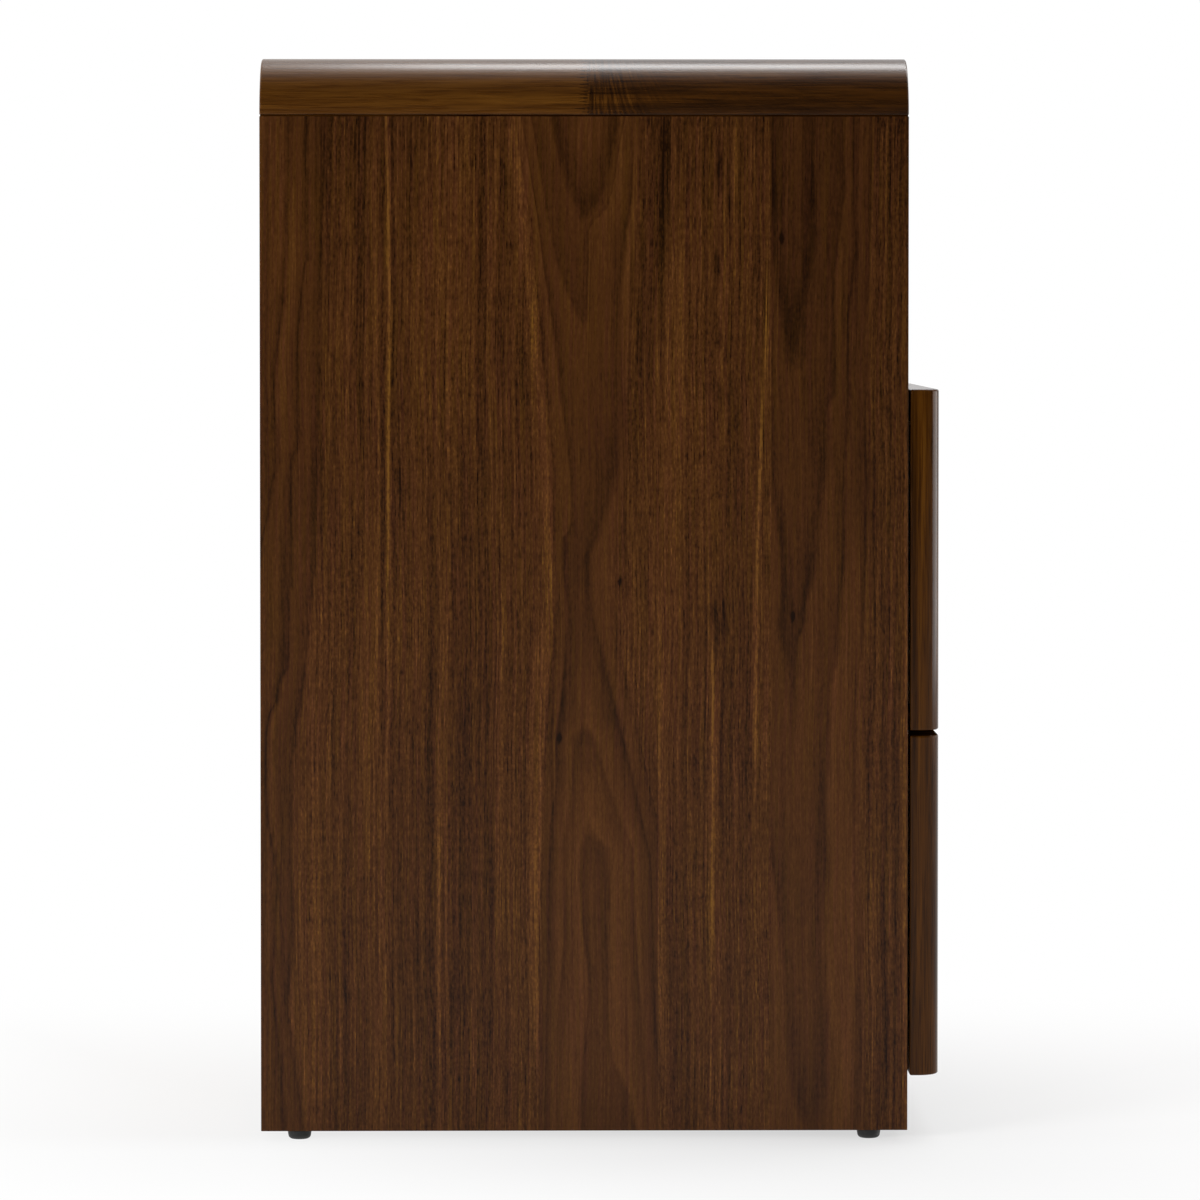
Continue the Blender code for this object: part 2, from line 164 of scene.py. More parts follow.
def eased_board(low, high, ease, spacing, extra=((), (), ())):
    """Board with softened edges.

    Formula: every point of a grid on the plain box is pulled to the nearest point of the box that is
    smaller by the easing on each side, and pushed out again from there by the easing, along the line
    between the two.
    """
    low, high, ease = (np.round(np.asarray(value, float), 6) for value in (low, high, ease))
    lines = [grid_lines(low[k], high[k], ease[k], spacing[k], extra[k]) for k in range(3)]
    plain, faces, start = [], [], 0
    for axis in range(3):
        first, second = (axis + 1) % 3, (axis + 2) % 3
        across, along = np.meshgrid(lines[first], lines[second], indexing="ij")
        for level, outward in ((low[axis], -1), (high[axis], 1)):
            side = np.empty((across.size, 3))
            side[:, axis] = level
            side[:, first] = across.ravel()
            side[:, second] = along.ravel()
            quads = sheet_faces(*across.shape, start)
            plain.append(side)
            faces.append(quads if outward > 0 else quads[:, ::-1])
            start += across.size
    plain = np.concatenate(plain)
    core = np.clip(plain, low + ease, high - ease)
    outward = (plain - core) / ease
    outward /= np.linalg.norm(outward, axis=1, keepdims=True)
    points = core + ease * outward
    normals = outward / ease
    normals /= np.linalg.norm(normals, axis=1, keepdims=True)
    _, keep, merged = np.unique(np.round(points, 7), axis=0, return_index=True, return_inverse=True)
    return points[keep], merged.reshape(-1)[np.concatenate(faces)].tolist(), normals[keep]


def loft(outline, outward, along, inset, lean, pull=None):
    """Closed body from a flat outline carried along a line.

    Formula: ring k is the outline moved inwards by inset[k] against the directions of pull, which are
    the outward ones unless given, at the distance along[k]; its normals are the outward directions
    turned towards the line's end by lean[k], the sine of the turn. The first and the last ring are each
    closed by one flat face.
    """
    rings, count = len(along), len(outline)
    pull = outward if pull is None else pull
    flat = outline[None, :, :] - inset[:, None, None] * pull[None, :, :]
    depth = np.broadcast_to(along[:, None, None], (rings, count, 1))
    points = np.concatenate([flat, depth], axis=2).reshape(-1, 3)
    turned = np.sqrt(1.0 - lean**2)[:, None, None] * outward[None, :, :]
    rise = np.broadcast_to(lean[:, None, None], (rings, count, 1))
    normals = np.concatenate([turned, rise], axis=2).reshape(-1, 3)
    here = np.arange(rings - 1)[:, None] * count + np.arange(count)[None, :]
    ahead = np.arange(rings - 1)[:, None] * count + (np.arange(count)[None, :] + 1) % count
    quads = np.stack([here, ahead, ahead + count, here + count], axis=-1).reshape(-1, 4)
    caps = [np.arange(count)[::-1].tolist(), (np.arange(count) + (rings - 1) * count).tolist()]
    return points, quads.tolist() + caps, normals


def laid(shape, order):
    """The same shape with its three directions taken in another order."""
    points, faces, normals = shape
    return points[:, order], faces, normals[:, order]


def flipped(shape, side):
    """The same shape for the right of the dresser (side 1), or mirrored for the left (side -1)."""
    points, faces, normals = shape
    turn = np.array([side, 1.0, 1.0])
    return points * turn, faces, normals * turn


def moved(shape, by):
    """The same shape moved by a distance in each direction."""
    points, faces, normals = shape
    return points + np.asarray(by, float), faces, normals


def eased_run(low, high, ease, spacing):
    """Distances, insets and leans of the rings of a body whose two ends are softened by a quarter circle."""
    turn = np.linspace(0.0, np.pi / 2, EASE_STEPS + 2)
    count = max(2, int(np.ceil((high - low - 2 * ease) / spacing)))
    middle = np.linspace(low + ease, high - ease, count + 1)[1:-1]
    along = np.concatenate([
        low + ease * (1.0 - np.cos(turn)),
        middle,
        high - ease * (1.0 - np.cos(turn[::-1])),
    ])
    inset = np.concatenate([ease * (1.0 - np.sin(turn)), 0.0 * middle, ease * (1.0 - np.sin(turn[::-1]))])
    lean = np.concatenate([-np.cos(turn), 0.0 * middle, np.cos(turn[::-1])])
    return along, inset, lean


def filleted(corners, radii, steps, extra=None):
    """Outline with every corner rounded, and the outward direction at each of its points.

    Formula: the corner is cut off at a distance of radius times the tangent of half the turn on both
    sides, and an arc about the point at the radius from both sides joins the cuts. The corners run
    counter-clockwise. A side of the outline may take extra points, given by the number of its first corner.
    """
    corners, radii = np.asarray(corners, float), np.asarray(radii, float)
    ahead = np.roll(corners, -1, axis=0) - corners
    ahead /= np.linalg.norm(ahead, axis=1, keepdims=True)
    before = np.roll(ahead, 1, axis=0)
    turn = np.arctan2(before[:, 0] * ahead[:, 1] - before[:, 1] * ahead[:, 0], (before * ahead).sum(axis=1))
    cut = radii * np.tan(np.abs(turn) / 2)
    normal = np.stack([before[:, 1], -before[:, 0]], axis=1)
    bend = np.sign(turn)[:, None]
    centre = corners - cut[:, None] * before - bend * radii[:, None] * normal
    angle = turn[:, None] * np.linspace(0.0, 1.0, steps + 1)[None, :]
    cosine, sine = np.cos(angle), np.sin(angle)
    outward = np.stack([
        cosine * normal[:, None, 0] - sine * normal[:, None, 1],
        sine * normal[:, None, 0] + cosine * normal[:, None, 1],
    ], axis=2)
    arcs = centre[:, None, :] + (bend * radii[:, None])[:, None, :] * outward
    points, directions = [], []
    for number in range(len(corners)):
        points.append(arcs[number])
        directions.append(outward[number])
        added = (extra or {}).get(number)
        if added is not None:
            points.append(np.asarray(added, float))
            directions.append(np.repeat(outward[number, -1:], len(added), axis=0))
    return np.concatenate(points), np.concatenate(directions)


def round_corner(shape, centre, side):
    """The same board with its upper corner on one side made round.

    Formula: a point in the square of the corner keeps its direction from the corner's centre, and its
    distance becomes the larger of its two offsets, so that squares about the centre become circles.
    """
    points, faces, normals = shape
    points, normals = points.copy(), normals.copy()
    across = (points[:, 0] - centre[0]) * side
    up = points[:, 2] - centre[1]
    inside = (across > 0.0) & (up > 0.0)
    length = np.hypot(across, up)[inside]
    towards = np.stack([side * across[inside] / length, up[inside] / length], axis=1)
    reach = np.maximum(across, up)[inside]
    points[inside, 0] = centre[0] + towards[:, 0] * reach
    points[inside, 2] = centre[1] + towards[:, 1] * reach
    flat = np.hypot(normals[inside, 0], normals[inside, 2])
    normals[inside, 0] = towards[:, 0] * flat
    normals[inside, 2] = towards[:, 1] * flat
    return points, faces, normals


# Pieces

def outward_faces(points, faces):
    """The faces turned so that they look outwards, by the sign of the volume that they enclose."""
    fans = [(face[0], face[k], face[k + 1]) for face in faces for k in range(1, len(face) - 1)]
    first, second, third = (points[np.array(fans)[:, k]] for k in range(3))
    volume = (first * np.cross(second, third)).sum()
    return faces if volume > 0.0 else [face[::-1] for face in faces]


def add_piece(name, shape, body, nodes, materials, grain=None, choose=None, edge_axes=(0, 1, 2)):
    """Put a surface into the scene as a piece that stands for CAD nodes and rides on their body."""
    points, faces, normals = shape
    mesh = bpy.data.meshes.new(name)
    mesh.from_pydata(points.tolist(), [], outward_faces(points, faces))
    mesh.polygons.foreach_set("use_smooth", np.ones(len(faces), bool))
    mesh.normals_split_custom_set_from_vertices(normals.tolist())
    for material in materials:
        mesh.materials.append(material)
    if choose is not None:
        chosen = choose(places_of(mesh.polygons, "center"))
        mesh.polygons.foreach_set("material_index", chosen.astype(np.int32))
    if grain is not None:
        write_grain(mesh, grain)
    write_edges(mesh, normals, edge_axes)
    piece = bpy.data.objects.new(name, mesh)
    bpy.context.scene.collection.objects.link(piece)
    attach(piece, body)
    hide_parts(*nodes)


def numbers_of(items, key):
    """Whole numbers of a mesh's items."""
    values = np.empty(len(items), np.int32)
    items.foreach_get(key, values)
    return values


def places_of(items, key):
    """Places of a mesh's items."""
    values = np.empty(len(items) * 3)
    items.foreach_get(key, values)
    return values.reshape(-1, 3)


def write_grain(mesh, grain):
    """Store the veneer's figure at every face corner: a UV map and a vector that the material reads."""
    places = places_of(mesh.vertices, "co")[numbers_of(mesh.loops, "vertex_index")]
    middles = np.repeat(places_of(mesh.polygons, "center"), numbers_of(mesh.polygons, "loop_total"), axis=0)
    across, along, ring, tone, coarse = grain(places, middles)
    layer = mesh.uv_layers.new(name="grain")
    layer.uv.foreach_set("vector", np.stack([across, along], axis=1).astype(np.float32).ravel())
    figure = mesh.attributes.new("figure", "FLOAT_VECTOR", "CORNER")
    figure.data.foreach_set("vector", np.stack([ring, tone, coarse], axis=1).astype(np.float32).ravel())


def write_edges(mesh, normals, edge_axes):
    """Store how far each point lies on a softened edge, by its normal's tilt out of the given edge axes."""
    tilt = normals[:, list(edge_axes)]
    edge = (2.0 * np.abs(tilt) * np.sqrt(np.clip(1.0 - tilt**2, 0.0, 1.0))).max(axis=1)
    mesh.attributes.new("edge", "FLOAT", "POINT").data.foreach_set("value", edge.astype(np.float32))


# Grain of the veneer

# Waves of the grain's wander: length and share
WANDER = ((0.31, 1.0), (0.127, 0.45), (0.053, 0.18))

# Usual distance of two rings beyond the drawn ones
RING_STEP = 0.009

# What sets the leaves apart, so that no two show the same fibres and rings
LEAF_SHIFT = 0.7
SIDE_SHIFT = 5.0
LEAF_RINGS = 40.0
SIDE_RINGS = 300.0


def wobble(along, seed, size):
    """Slow sideways wander of the grain: three sines of unlike lengths."""
    draw = np.random.default_rng(seed)
    total = np.zeros_like(along)
    for length, share in WANDER:
        wave = length * draw.uniform(0.8, 1.2)
        total += share * np.sin(2 * np.pi * along / wave + draw.uniform(0.0, 6.3))
    return size * total


def ring_number(grain, radii):
    """How many growth rings lie inside a value of the grain: whole numbers at the given radii."""
    radii = np.asarray(radii, float)
    beyond = RING_STEP * np.arange(1, 10)
    spread = np.concatenate([radii[0] - beyond[::-1], radii, radii[-1] + beyond])
    return np.interp(grain, spread, np.arange(len(spread), dtype=float))


# Growth rings of the photographed side, marked from the back edge of a leaf of veneer to its front
# edge: the ring's number and its marks (across, height) in millimetres. In an arched leaf the rings count
# outwards from a heart line, which stands among them with the number 0 and carries the heart's numbers.
BACK_LEAF = (
    (0, ((-2, 757), (-2, 7))),
    (1, ((27, 757), (26, 711), (21, 671), (20, 630), (16, 598), (12, 565), (12, 545), (15, 508),
         (15, 496), (10, 492), (8, 470), (1, 440), (-1, 400), (-1, 7))),
    (2, ((36, 757), (35, 720), (37, 663), (37, 651), (33, 644), (32, 626), (29, 594), (30, 545),
         (30, 514), (25, 508), (24, 496), (25, 451), (24, 411), (21, 403), (21, 358), (20, 346),
         (16, 344), (14, 333), (13, 322), (8, 320), (5, 301), (4, 265), (7, 232), (14, 195), (9, 120),
         (15, 67), (19, 7))),
    (3, ((50, 757), (46, 650), (47, 600), (44, 520), (42, 430), (36, 370), (32, 325), (28, 310),
         (25, 285), (23, 212), (25, 160), (22, 118), (20, 100), (25, 61), (33, 7))),
    (4, ((54, 757), (51, 600), (48, 490), (45, 394), (42, 272), (37, 216), (36, 200), (42, 155),
         (43, 102), (42, 7))),
    (5, ((60, 757), (57, 640), (54, 500), (52, 380), (47, 230), (52, 190), (54, 160), (50, 80), (50, 7))),
    (6, ((65, 757), (64, 584), (60, 380), (57, 177), (58, 7))),
    (7, ((71, 757), (70, 473), (66, 300), (66, 7))),
    (8, ((78, 757), (77, 473), (78, 7))),
)
CENTRE_LEAF = (
    (6, ((176, 757), (183, 665), (188, 604), (198, 502), (201, 440), (200, 390), (193, 295), (190, 160),
         (191, 7))),
    (5, ((183, 757), (188, 710), (196, 604), (207, 502), (210, 458), (210, 400), (205, 332), (200, 259),
         (201, 7))),
    (4, ((187, 757), (198, 685), (204, 626), (215, 502), (216, 384), (209, 290), (205, 150), (205, 7))),
    (3, ((192, 757), (204, 682), (210, 633), (216, 589), (227, 500), (229, 470), (228, 452), (221, 447),
         (221, 425), (226, 390), (221, 332), (217, 295), (218, 265), (213, 236), (211, 150), (209, 7))),
    (2, ((199, 757), (209, 693), (216, 653), (224, 626), (230, 611), (239, 598), (239, 309), (230, 304),
         (228, 262), (223, 222), (223, 150), (217, 78), (217, 7))),
    (1, ((211, 757), (225, 702), (233, 683), (238, 676), (241, 238), (237, 228), (233, 200), (237, 155),
         (241, 125), (241, 100), (235, 36), (235, 7))),
    (0, ((240, 757), (238, 676), (239, 598), (235, 510), (233, 428), (239, 309), (241, 238), (246, 177),
         (251, 7))),
    (1, ((267, 757), (261, 722), (258, 702), (255, 691), (249, 687), (241, 679), (238, 676), (241, 238),
         (247, 227), (257, 220), (260, 210), (257, 160), (258, 75), (261, 58), (273, 36), (280, 7))),
    (2, ((269, 757), (259, 702), (256, 689), (250, 684), (242, 674), (241, 606), (239, 598), (239, 309),
         (246, 304), (250, 295), (257, 267), (267, 239), (276, 217), (278, 160), (283, 80), (287, 7))),
    (3, ((277, 757), (275, 696), (266, 628), (265, 605), (268, 545), (268, 500), (263, 481), (256, 462),
         (250, 443), (245, 438), (244, 425), (246, 390), (254, 361), (269, 298), (284, 230), (289, 208),
         (292, 95), (298, 7))),
    (4, ((283, 757), (276, 640), (271, 537), (271, 413), (266, 376), (266, 361), (279, 304), (293, 240),
         (298, 150), (304, 7))),
    (5, ((289, 757), (283, 620), (281, 510), (283, 330), (293, 263), (303, 177), (307, 7))),
)
FRONT_LEAF = (
    (3, ((363, 757), (365, 399), (369, 251), (376, 200), (381, 150), (386, 120), (386, 80), (388, 35),
         (396, 15), (400, 7))),
    (2, ((368, 757), (372, 547), (377, 475), (381, 440), (383, 405), (379, 385), (383, 355), (389, 320),
         (393, 298))),
    (1, ((372, 757), (376, 655), (380, 630), (386, 577), (390, 566))),
    (0, ((395, 757), (390, 566), (395, 362), (393, 298), (405, 7))),
    (1, ((411, 757), (410, 720), (412, 665), (407, 640), (403, 618), (404, 580), (402, 572), (390, 566))),
    (2, ((431, 757), (432, 700), (425, 645), (425, 612), (427, 552), (420, 543), (420, 500), (413, 450),
         (410, 415), (404, 398), (403, 380), (397, 372), (396, 345), (397, 325), (393, 298))),
    (3, ((438, 757), (438, 690), (440, 655), (434, 612), (434, 535), (431, 500), (432, 430), (429, 400),
         (427, 360), (421, 337), (418, 260), (420, 200), (417, 150), (417, 120), (425, 50), (421, 7))),
    (4, ((452, 757), (447, 530), (449, 480), (447, 400), (441, 320), (440, 215), (443, 150), (445, 80),
         (443, 7))),
    (5, ((457, 757), (453, 547), (456, 430), (450, 300), (451, 7))),
    (6, ((462, 757), (459, 500), (457, 7))),
    (7, ((467, 757), (465, 420), (463, 7))),
    (8, ((471, 757), (469, 7))),
    (9, ((475, 757), (474, 7))),
    (10, ((480, 757), (480, 7))),
)
CENTRE_HEART = (
    CENTRE_LEAF[6][1],
    ((0.35, 757), (1, 676), (2, 598), (2.45, 517), (2.6, 428), (2.35, 362), (2, 309), (1, 238), (0.55, 177),
     (0.3, 7)),
)
FRONT_HEART = (
    FRONT_LEAF[3][1],
    ((0.2, 757), (1, 566), (1.45, 473), (2, 298), (2.4, 177), (2.9, 7)),
)

# Seams between the five leaves of a side panel, from its back edge, and the coarseness of each leaf's pores
SIDE_SEAMS = (0.0774, 0.1715, 0.2932, 0.3767)
SIDE_PORES = (0.35, 1.0, 0.25, 1.0, 0.30)

# Ring beyond which the outer part of a leaf turns as straight and coarse as its neighbours, and how coarse
SIDE_ARCHES = (2.6, 0.0, 3.2, 0.0, 3.8)
OUTER_PORES = 0.9

# Leaves cut straight: distance of the rings, and how strongly and over what length it changes
STRAIGHT_RING = 0.0085
STRAIGHT_CHANGE = 0.35
STRAIGHT_PERIOD = 0.023


def marked_line(marks, height):
    """Smooth line through marks (value, height in millimetres), at heights in metres."""
    values, heights = (np.array(part[::-1], float) for part in zip(*marks))
    steps = np.arange(-20.0, 781.0)
    bell = np.hanning(13)[1:-1]
    line = np.pad(np.interp(steps, heights, values), 5, mode="edge")
    return np.interp(height * 1000.0, steps, np.convolve(line, bell / bell.sum(), "valid"))


def marked_rings(lines, heart, across, height):
    """Ring number in a leaf with marked rings.

    Formula: at each height the ring lines cut the leaf at known places, and the number runs straight from
    one cut to the next. A ring whose number is less than the heart's at that height has closed in an arch,
    and its cut lies on the heart line with the heart's number.
    """
    middle = marked_line(heart[0], height) if heart else 0.0
    least = marked_line(heart[1], height) if heart else np.full_like(height, -1.0)
    cuts = [np.where(number < least, middle, marked_line(marks, height)) for number, marks in lines]
    numbers = [np.maximum(number, least) for number, _ in lines]
    total = numbers[0].copy()
    for number in range(len(lines) - 1):
        width = np.maximum(cuts[number + 1] - cuts[number], 0.05)
        share = np.clip((across * 1000.0 - cuts[number]) / width, 0.0, 1.0)
        total += (numbers[number + 1] - numbers[number]) * share
    return total


def straight_rings(seed, across, height):
    """Ring number in a leaf cut straight: lines that wander slowly, at unlike distances."""
    place = across + wobble(height, seed, 0.0006)
    return place / STRAIGHT_RING + STRAIGHT_CHANGE * np.sin(2 * np.pi * place / STRAIGHT_PERIOD)


# Streaks of the photographed side: strength, half width, softness of the ends, and marks (across, height)
STREAKS = (
    (0.46, 0.0011, 0.10, ((0.0936, 0.757), (0.0956, 0.620), (0.0950, 0.520), (0.0940, 0.380))),
    (0.22, 0.0009, 0.05, ((0.0930, 0.310), (0.0918, 0.200), (0.0920, 0.110))),
    (0.20, 0.0014, 0.05, ((0.0871, 0.520), (0.0860, 0.290))),
    (0.30, 0.0016, 0.04, ((0.1740, 0.757), (0.1735, 0.650))),
    (0.27, 0.0034, 0.05, ((0.1850, 0.757), (0.1925, 0.685), (0.2010, 0.604), (0.2110, 0.502), (0.2135, 0.413),
                          (0.2060, 0.300), (0.2035, 0.200), (0.2030, 0.060))),
    (0.34, 0.0018, 0.03, ((0.3509, 0.757), (0.3509, 0.690))),
    (0.46, 0.0010, 0.04, ((0.3339, 0.370), (0.3335, 0.140))),
    (0.34, 0.0013, 0.06, ((0.3730, 0.620), (0.3690, 0.510), (0.3655, 0.400), (0.3650, 0.270))),
    (0.24, 0.0012, 0.04, ((0.1314, 0.240), (0.1314, 0.050))),
    (0.40, 0.0009, 0.010, ((0.3390, 0.588), (0.3393, 0.572))),
    (0.36, 0.0007, 0.015, ((0.2930, 0.585), (0.2934, 0.555))),
    (0.15, 0.0032, 0.06, ((0.4350, 0.300), (0.4365, 0.120), (0.4350, 0.007))),
    (0.12, 0.0026, 0.06, ((0.4475, 0.757), (0.4460, 0.560))),
    (0.14, 0.0120, 0.03, ((0.2437, 0.780), (0.2437, 0.700))),
    (0.10, 0.0100, 0.05, ((0.2600, 0.470), (0.2670, 0.300))),
    (-0.24, 0.0022, 0.10, ((0.0898, 0.780), (0.0898, 0.250))),
    (-0.10, 0.0080, 0.05, ((0.0650, 0.780), (0.0650, -0.050))),
    (-0.14, 0.0060, 0.06, ((0.0720, 0.780), (0.0720, 0.500))),
    (-0.22, 0.0025, 0.04, ((0.1706, 0.230), (0.1706, 0.060))),
    (-0.16, 0.0060, 0.02, ((0.1440, 0.130), (0.1440, 0.090))),
    (-0.28, 0.0022, 0.05, ((0.2985, 0.780), (0.2950, 0.640))),
    (-0.18, 0.0120, 0.05, ((0.3020, 0.780), (0.3000, 0.660))),
    (-0.32, 0.0024, 0.012, ((0.3385, 0.730), (0.3390, 0.702))),
    (-0.26, 0.0016, 0.008, ((0.3460, 0.700), (0.3465, 0.684))),
    (-0.34, 0.0022, 0.008, ((0.3360, 0.656), (0.3380, 0.636))),
    (-0.30, 0.0026, 0.012, ((0.3370, 0.604), (0.3385, 0.578))),
    (-0.30, 0.0024, 0.010, ((0.3380, 0.558), (0.3395, 0.542))),
    (-0.30, 0.0034, 0.010, ((0.3345, 0.398), (0.3370, 0.368))),
    (-0.24, 0.0016, 0.010, ((0.3420, 0.402), (0.3430, 0.375))),
    (-0.18, 0.0012, 0.06, ((0.3590, 0.380), (0.3590, 0.010))),
    (-0.28, 0.0014, 0.020, ((0.1030, 0.500), (0.1050, 0.460))),
    (-0.20, 0.0022, 0.015, ((0.3830, 0.470), (0.3850, 0.440))),
    (-0.10, 0.0120, 0.05, ((0.4600, 0.800), (0.4600, -0.050))),
    (-0.12, 0.0060, 0.05, ((0.1640, 0.800), (0.1640, -0.050))),
    # The last five are broad darker patches rather than streaks, three of them at the top of the panel.
    (-0.12, 0.0600, 0.15, ((0.4300, 0.900), (0.4300, 0.560))),
    (-0.11, 0.0700, 0.10, ((0.0700, 0.900), (0.0700, 0.680))),
    (-0.10, 0.0500, 0.08, ((0.3450, 0.900), (0.3450, 0.710))),
    (-0.11, 0.0350, 0.06, ((0.4500, 0.540), (0.4500, 0.440))),
    (-0.08, 0.0600, 0.08, ((0.0500, 0.530), (0.0500, 0.430))),
)

# Rings of the photographed side that stand out darker: strength, half width in millimetres and marks
DARK_RINGS = (
    (-0.14, 1.2, BACK_LEAF[1][1]),
    (-0.22, 1.3, BACK_LEAF[2][1]),
    (-0.10, 1.2, BACK_LEAF[3][1]),
    (-0.10, 1.2, CENTRE_LEAF[9][1]),
    (-0.06, 1.2, CENTRE_LEAF[10][1]),
    (-0.14, 1.1, FRONT_LEAF[6][1]),
    (-0.06, 1.2, FRONT_LEAF[7][1]),
)

# Pin knots of the photographed side: across and height
PIN_KNOTS = ((0.2652, 0.4136), (0.2208, 0.2984), (0.3930, 0.3878), (0.3841, 0.6664))
KNOT_WIDTH = 0.0012
KNOT_HEIGHT = 0.0028
KNOT_DARKNESS = 1.1

# Streaks up to this half width get grid lines of their own, at these shares of it; so do the knots
NARROW_STREAK = 0.0035
STREAK_LINES = np.array((-2.2, -1.4, -0.7, 0.0, 0.7, 1.4, 2.2))
KNOT_LINES = np.array((-2.0, -1.0, 0.0, 1.0, 2.0))


def streak_tone(across, height):
    """Sum of the streaks, dark rings and knots, each a bell across its line; streaks fade past their ends."""
    total = np.zeros_like(across)
    for strength, width, marks in DARK_RINGS:
        offset = 1000.0 * across - marked_line(marks, height)
        total += strength * np.exp(-((offset / width) ** 2))
    for strength, width, soft, marks in STREAKS:
        line_across, line_height = (np.array(values)[::-1] for values in zip(*marks))
        offset = across - np.interp(height, line_height, line_across)
        ends = (height - line_height[0] + soft) / (2 * soft), (line_height[-1] + soft - height) / (2 * soft)
        share = np.clip(np.minimum(*ends), 0.0, 1.0)
        total += strength * np.exp(-((offset / width) ** 2)) * share * share * (3.0 - 2.0 * share)
    for knot_across, knot_height in PIN_KNOTS:
        reach = ((across - knot_across) / KNOT_WIDTH) ** 2 + ((height - knot_height) / KNOT_HEIGHT) ** 2
        total -= KNOT_DARKNESS * np.exp(-reach)
    return total


def turned_height(height, side):
    """Height in the leaves of a side panel: from the floor on the left, from the seam on the right."""
    return height if side < 0 else CASE_BOTTOM + SEAM_Z - height


def side_figure(side):
    """Figure of a side panel: five upright leaves of veneer, two of them with arches.

    The right side has the same leaves turned end for end.
    """
    def grain(places, middles):
        under = OUTER_HALF - np.abs(places[:, 0])
        across = CASE_BACK - places[:, 1]
        height = turned_height(places[:, 2], side)
        leaf = np.searchsorted(SIDE_SEAMS, CASE_BACK - middles[:, 1])
        ring = np.choose(leaf, (
            marked_rings(BACK_LEAF, None, across, height),
            straight_rings(5, across, height),
            marked_rings(CENTRE_LEAF, CENTRE_HEART, across, height),
            straight_rings(11, across, height),
            marked_rings(FRONT_LEAF, FRONT_HEART, across, height),
        ))
        fibres = across + 0.5 * under + wobble(height, 21, 0.0008) + LEAF_SHIFT * leaf + SIDE_SHIFT * side
        pores = np.array(SIDE_PORES)[leaf]
        outer = np.clip(ring - np.array(SIDE_ARCHES)[leaf], 0.0, 1.0)
        coarse = pores + (OUTER_PORES - pores) * outer
        ring = ring + LEAF_RINGS * leaf + SIDE_RINGS * side
        return fibres, height, ring, streak_tone(across, height), coarse
    return grain


def side_stations(side):
    """Grid lines that a side panel needs across and along for its seams, streaks and knots."""
    across = list(SIDE_SEAMS)
    height = []
    for _, width, _, marks in STREAKS:
        if width < NARROW_STREAK:
            middle = np.mean([mark[0] for mark in marks])
            across.extend(middle + width * STREAK_LINES)
    for knot_across, knot_height in PIN_KNOTS:
        across.extend(knot_across + KNOT_WIDTH * KNOT_LINES)
        height.extend(knot_height + KNOT_HEIGHT * KNOT_LINES)
    return CASE_BACK - np.array(across), turned_height(np.array(height), side)


def lying_figure(seed, leaf_width, axis, face):
    """Grain that runs along X in leaves of one width, side by side along another axis.

    Formula: in every leaf the grain is the hypotenuse of the distance from the leaf's own middle line and
    a heart depth that rises or falls slowly along X, which draws long flat arches. The depth behind the
    piece's face, in the third axis, counts on beyond both edges, so that the lines go round them.
    """
    def grain(places, middles):
        along = places[:, 0]
        low, high = places[:, axis].min(), places[:, axis].max()
        turn = 2.0 * (places[:, axis] - low) / (high - low) - 1.0
        across = places[:, axis] + turn * np.abs(places[:, 3 - axis] - face)
        leaf = np.floor(middles[:, axis] / leaf_width).astype(int)
        fibres, ring, tone, coarse = (np.empty_like(along) for _ in range(4))
        for number in np.unique(leaf):
            here = leaf == number
            draw = np.random.default_rng(seed + 31 * (number + 50))
            middle = (number + draw.uniform(0.2, 0.8)) * leaf_width
            slope = draw.choice((-1.0, 1.0)) * draw.uniform(0.03, 0.06)
            depth = 0.055 + slope * (along[here] - draw.uniform(-0.4, 0.4))
            offset = across[here] - middle + wobble(along[here], seed + number, 0.0018)
            fibres[here] = offset + LEAF_SHIFT * number
            arch = np.hypot(offset, depth + wobble(along[here], seed + number + 9, 0.0006))
            radii = 0.012 + np.cumsum(draw.uniform(0.003, 0.010, 14))
            ring[here] = ring_number(arch, radii) + LEAF_RINGS * number
            tone[here] = draw.uniform(-0.06, 0.06)
            coarse[here] = draw.uniform(0.3, 0.9)
        return fibres, along, ring, tone, coarse
    return grain


def upright_figure(seed):
    """Straight upright grain, for the boards inside the case."""
    def grain(places, middles):
        across = places[:, 0] + places[:, 1] + wobble(places[:, 2], seed, 0.001)
        return across, places[:, 2], across * 90.0, np.zeros_like(across), np.full_like(across, 0.7)
    return grain


# Materials

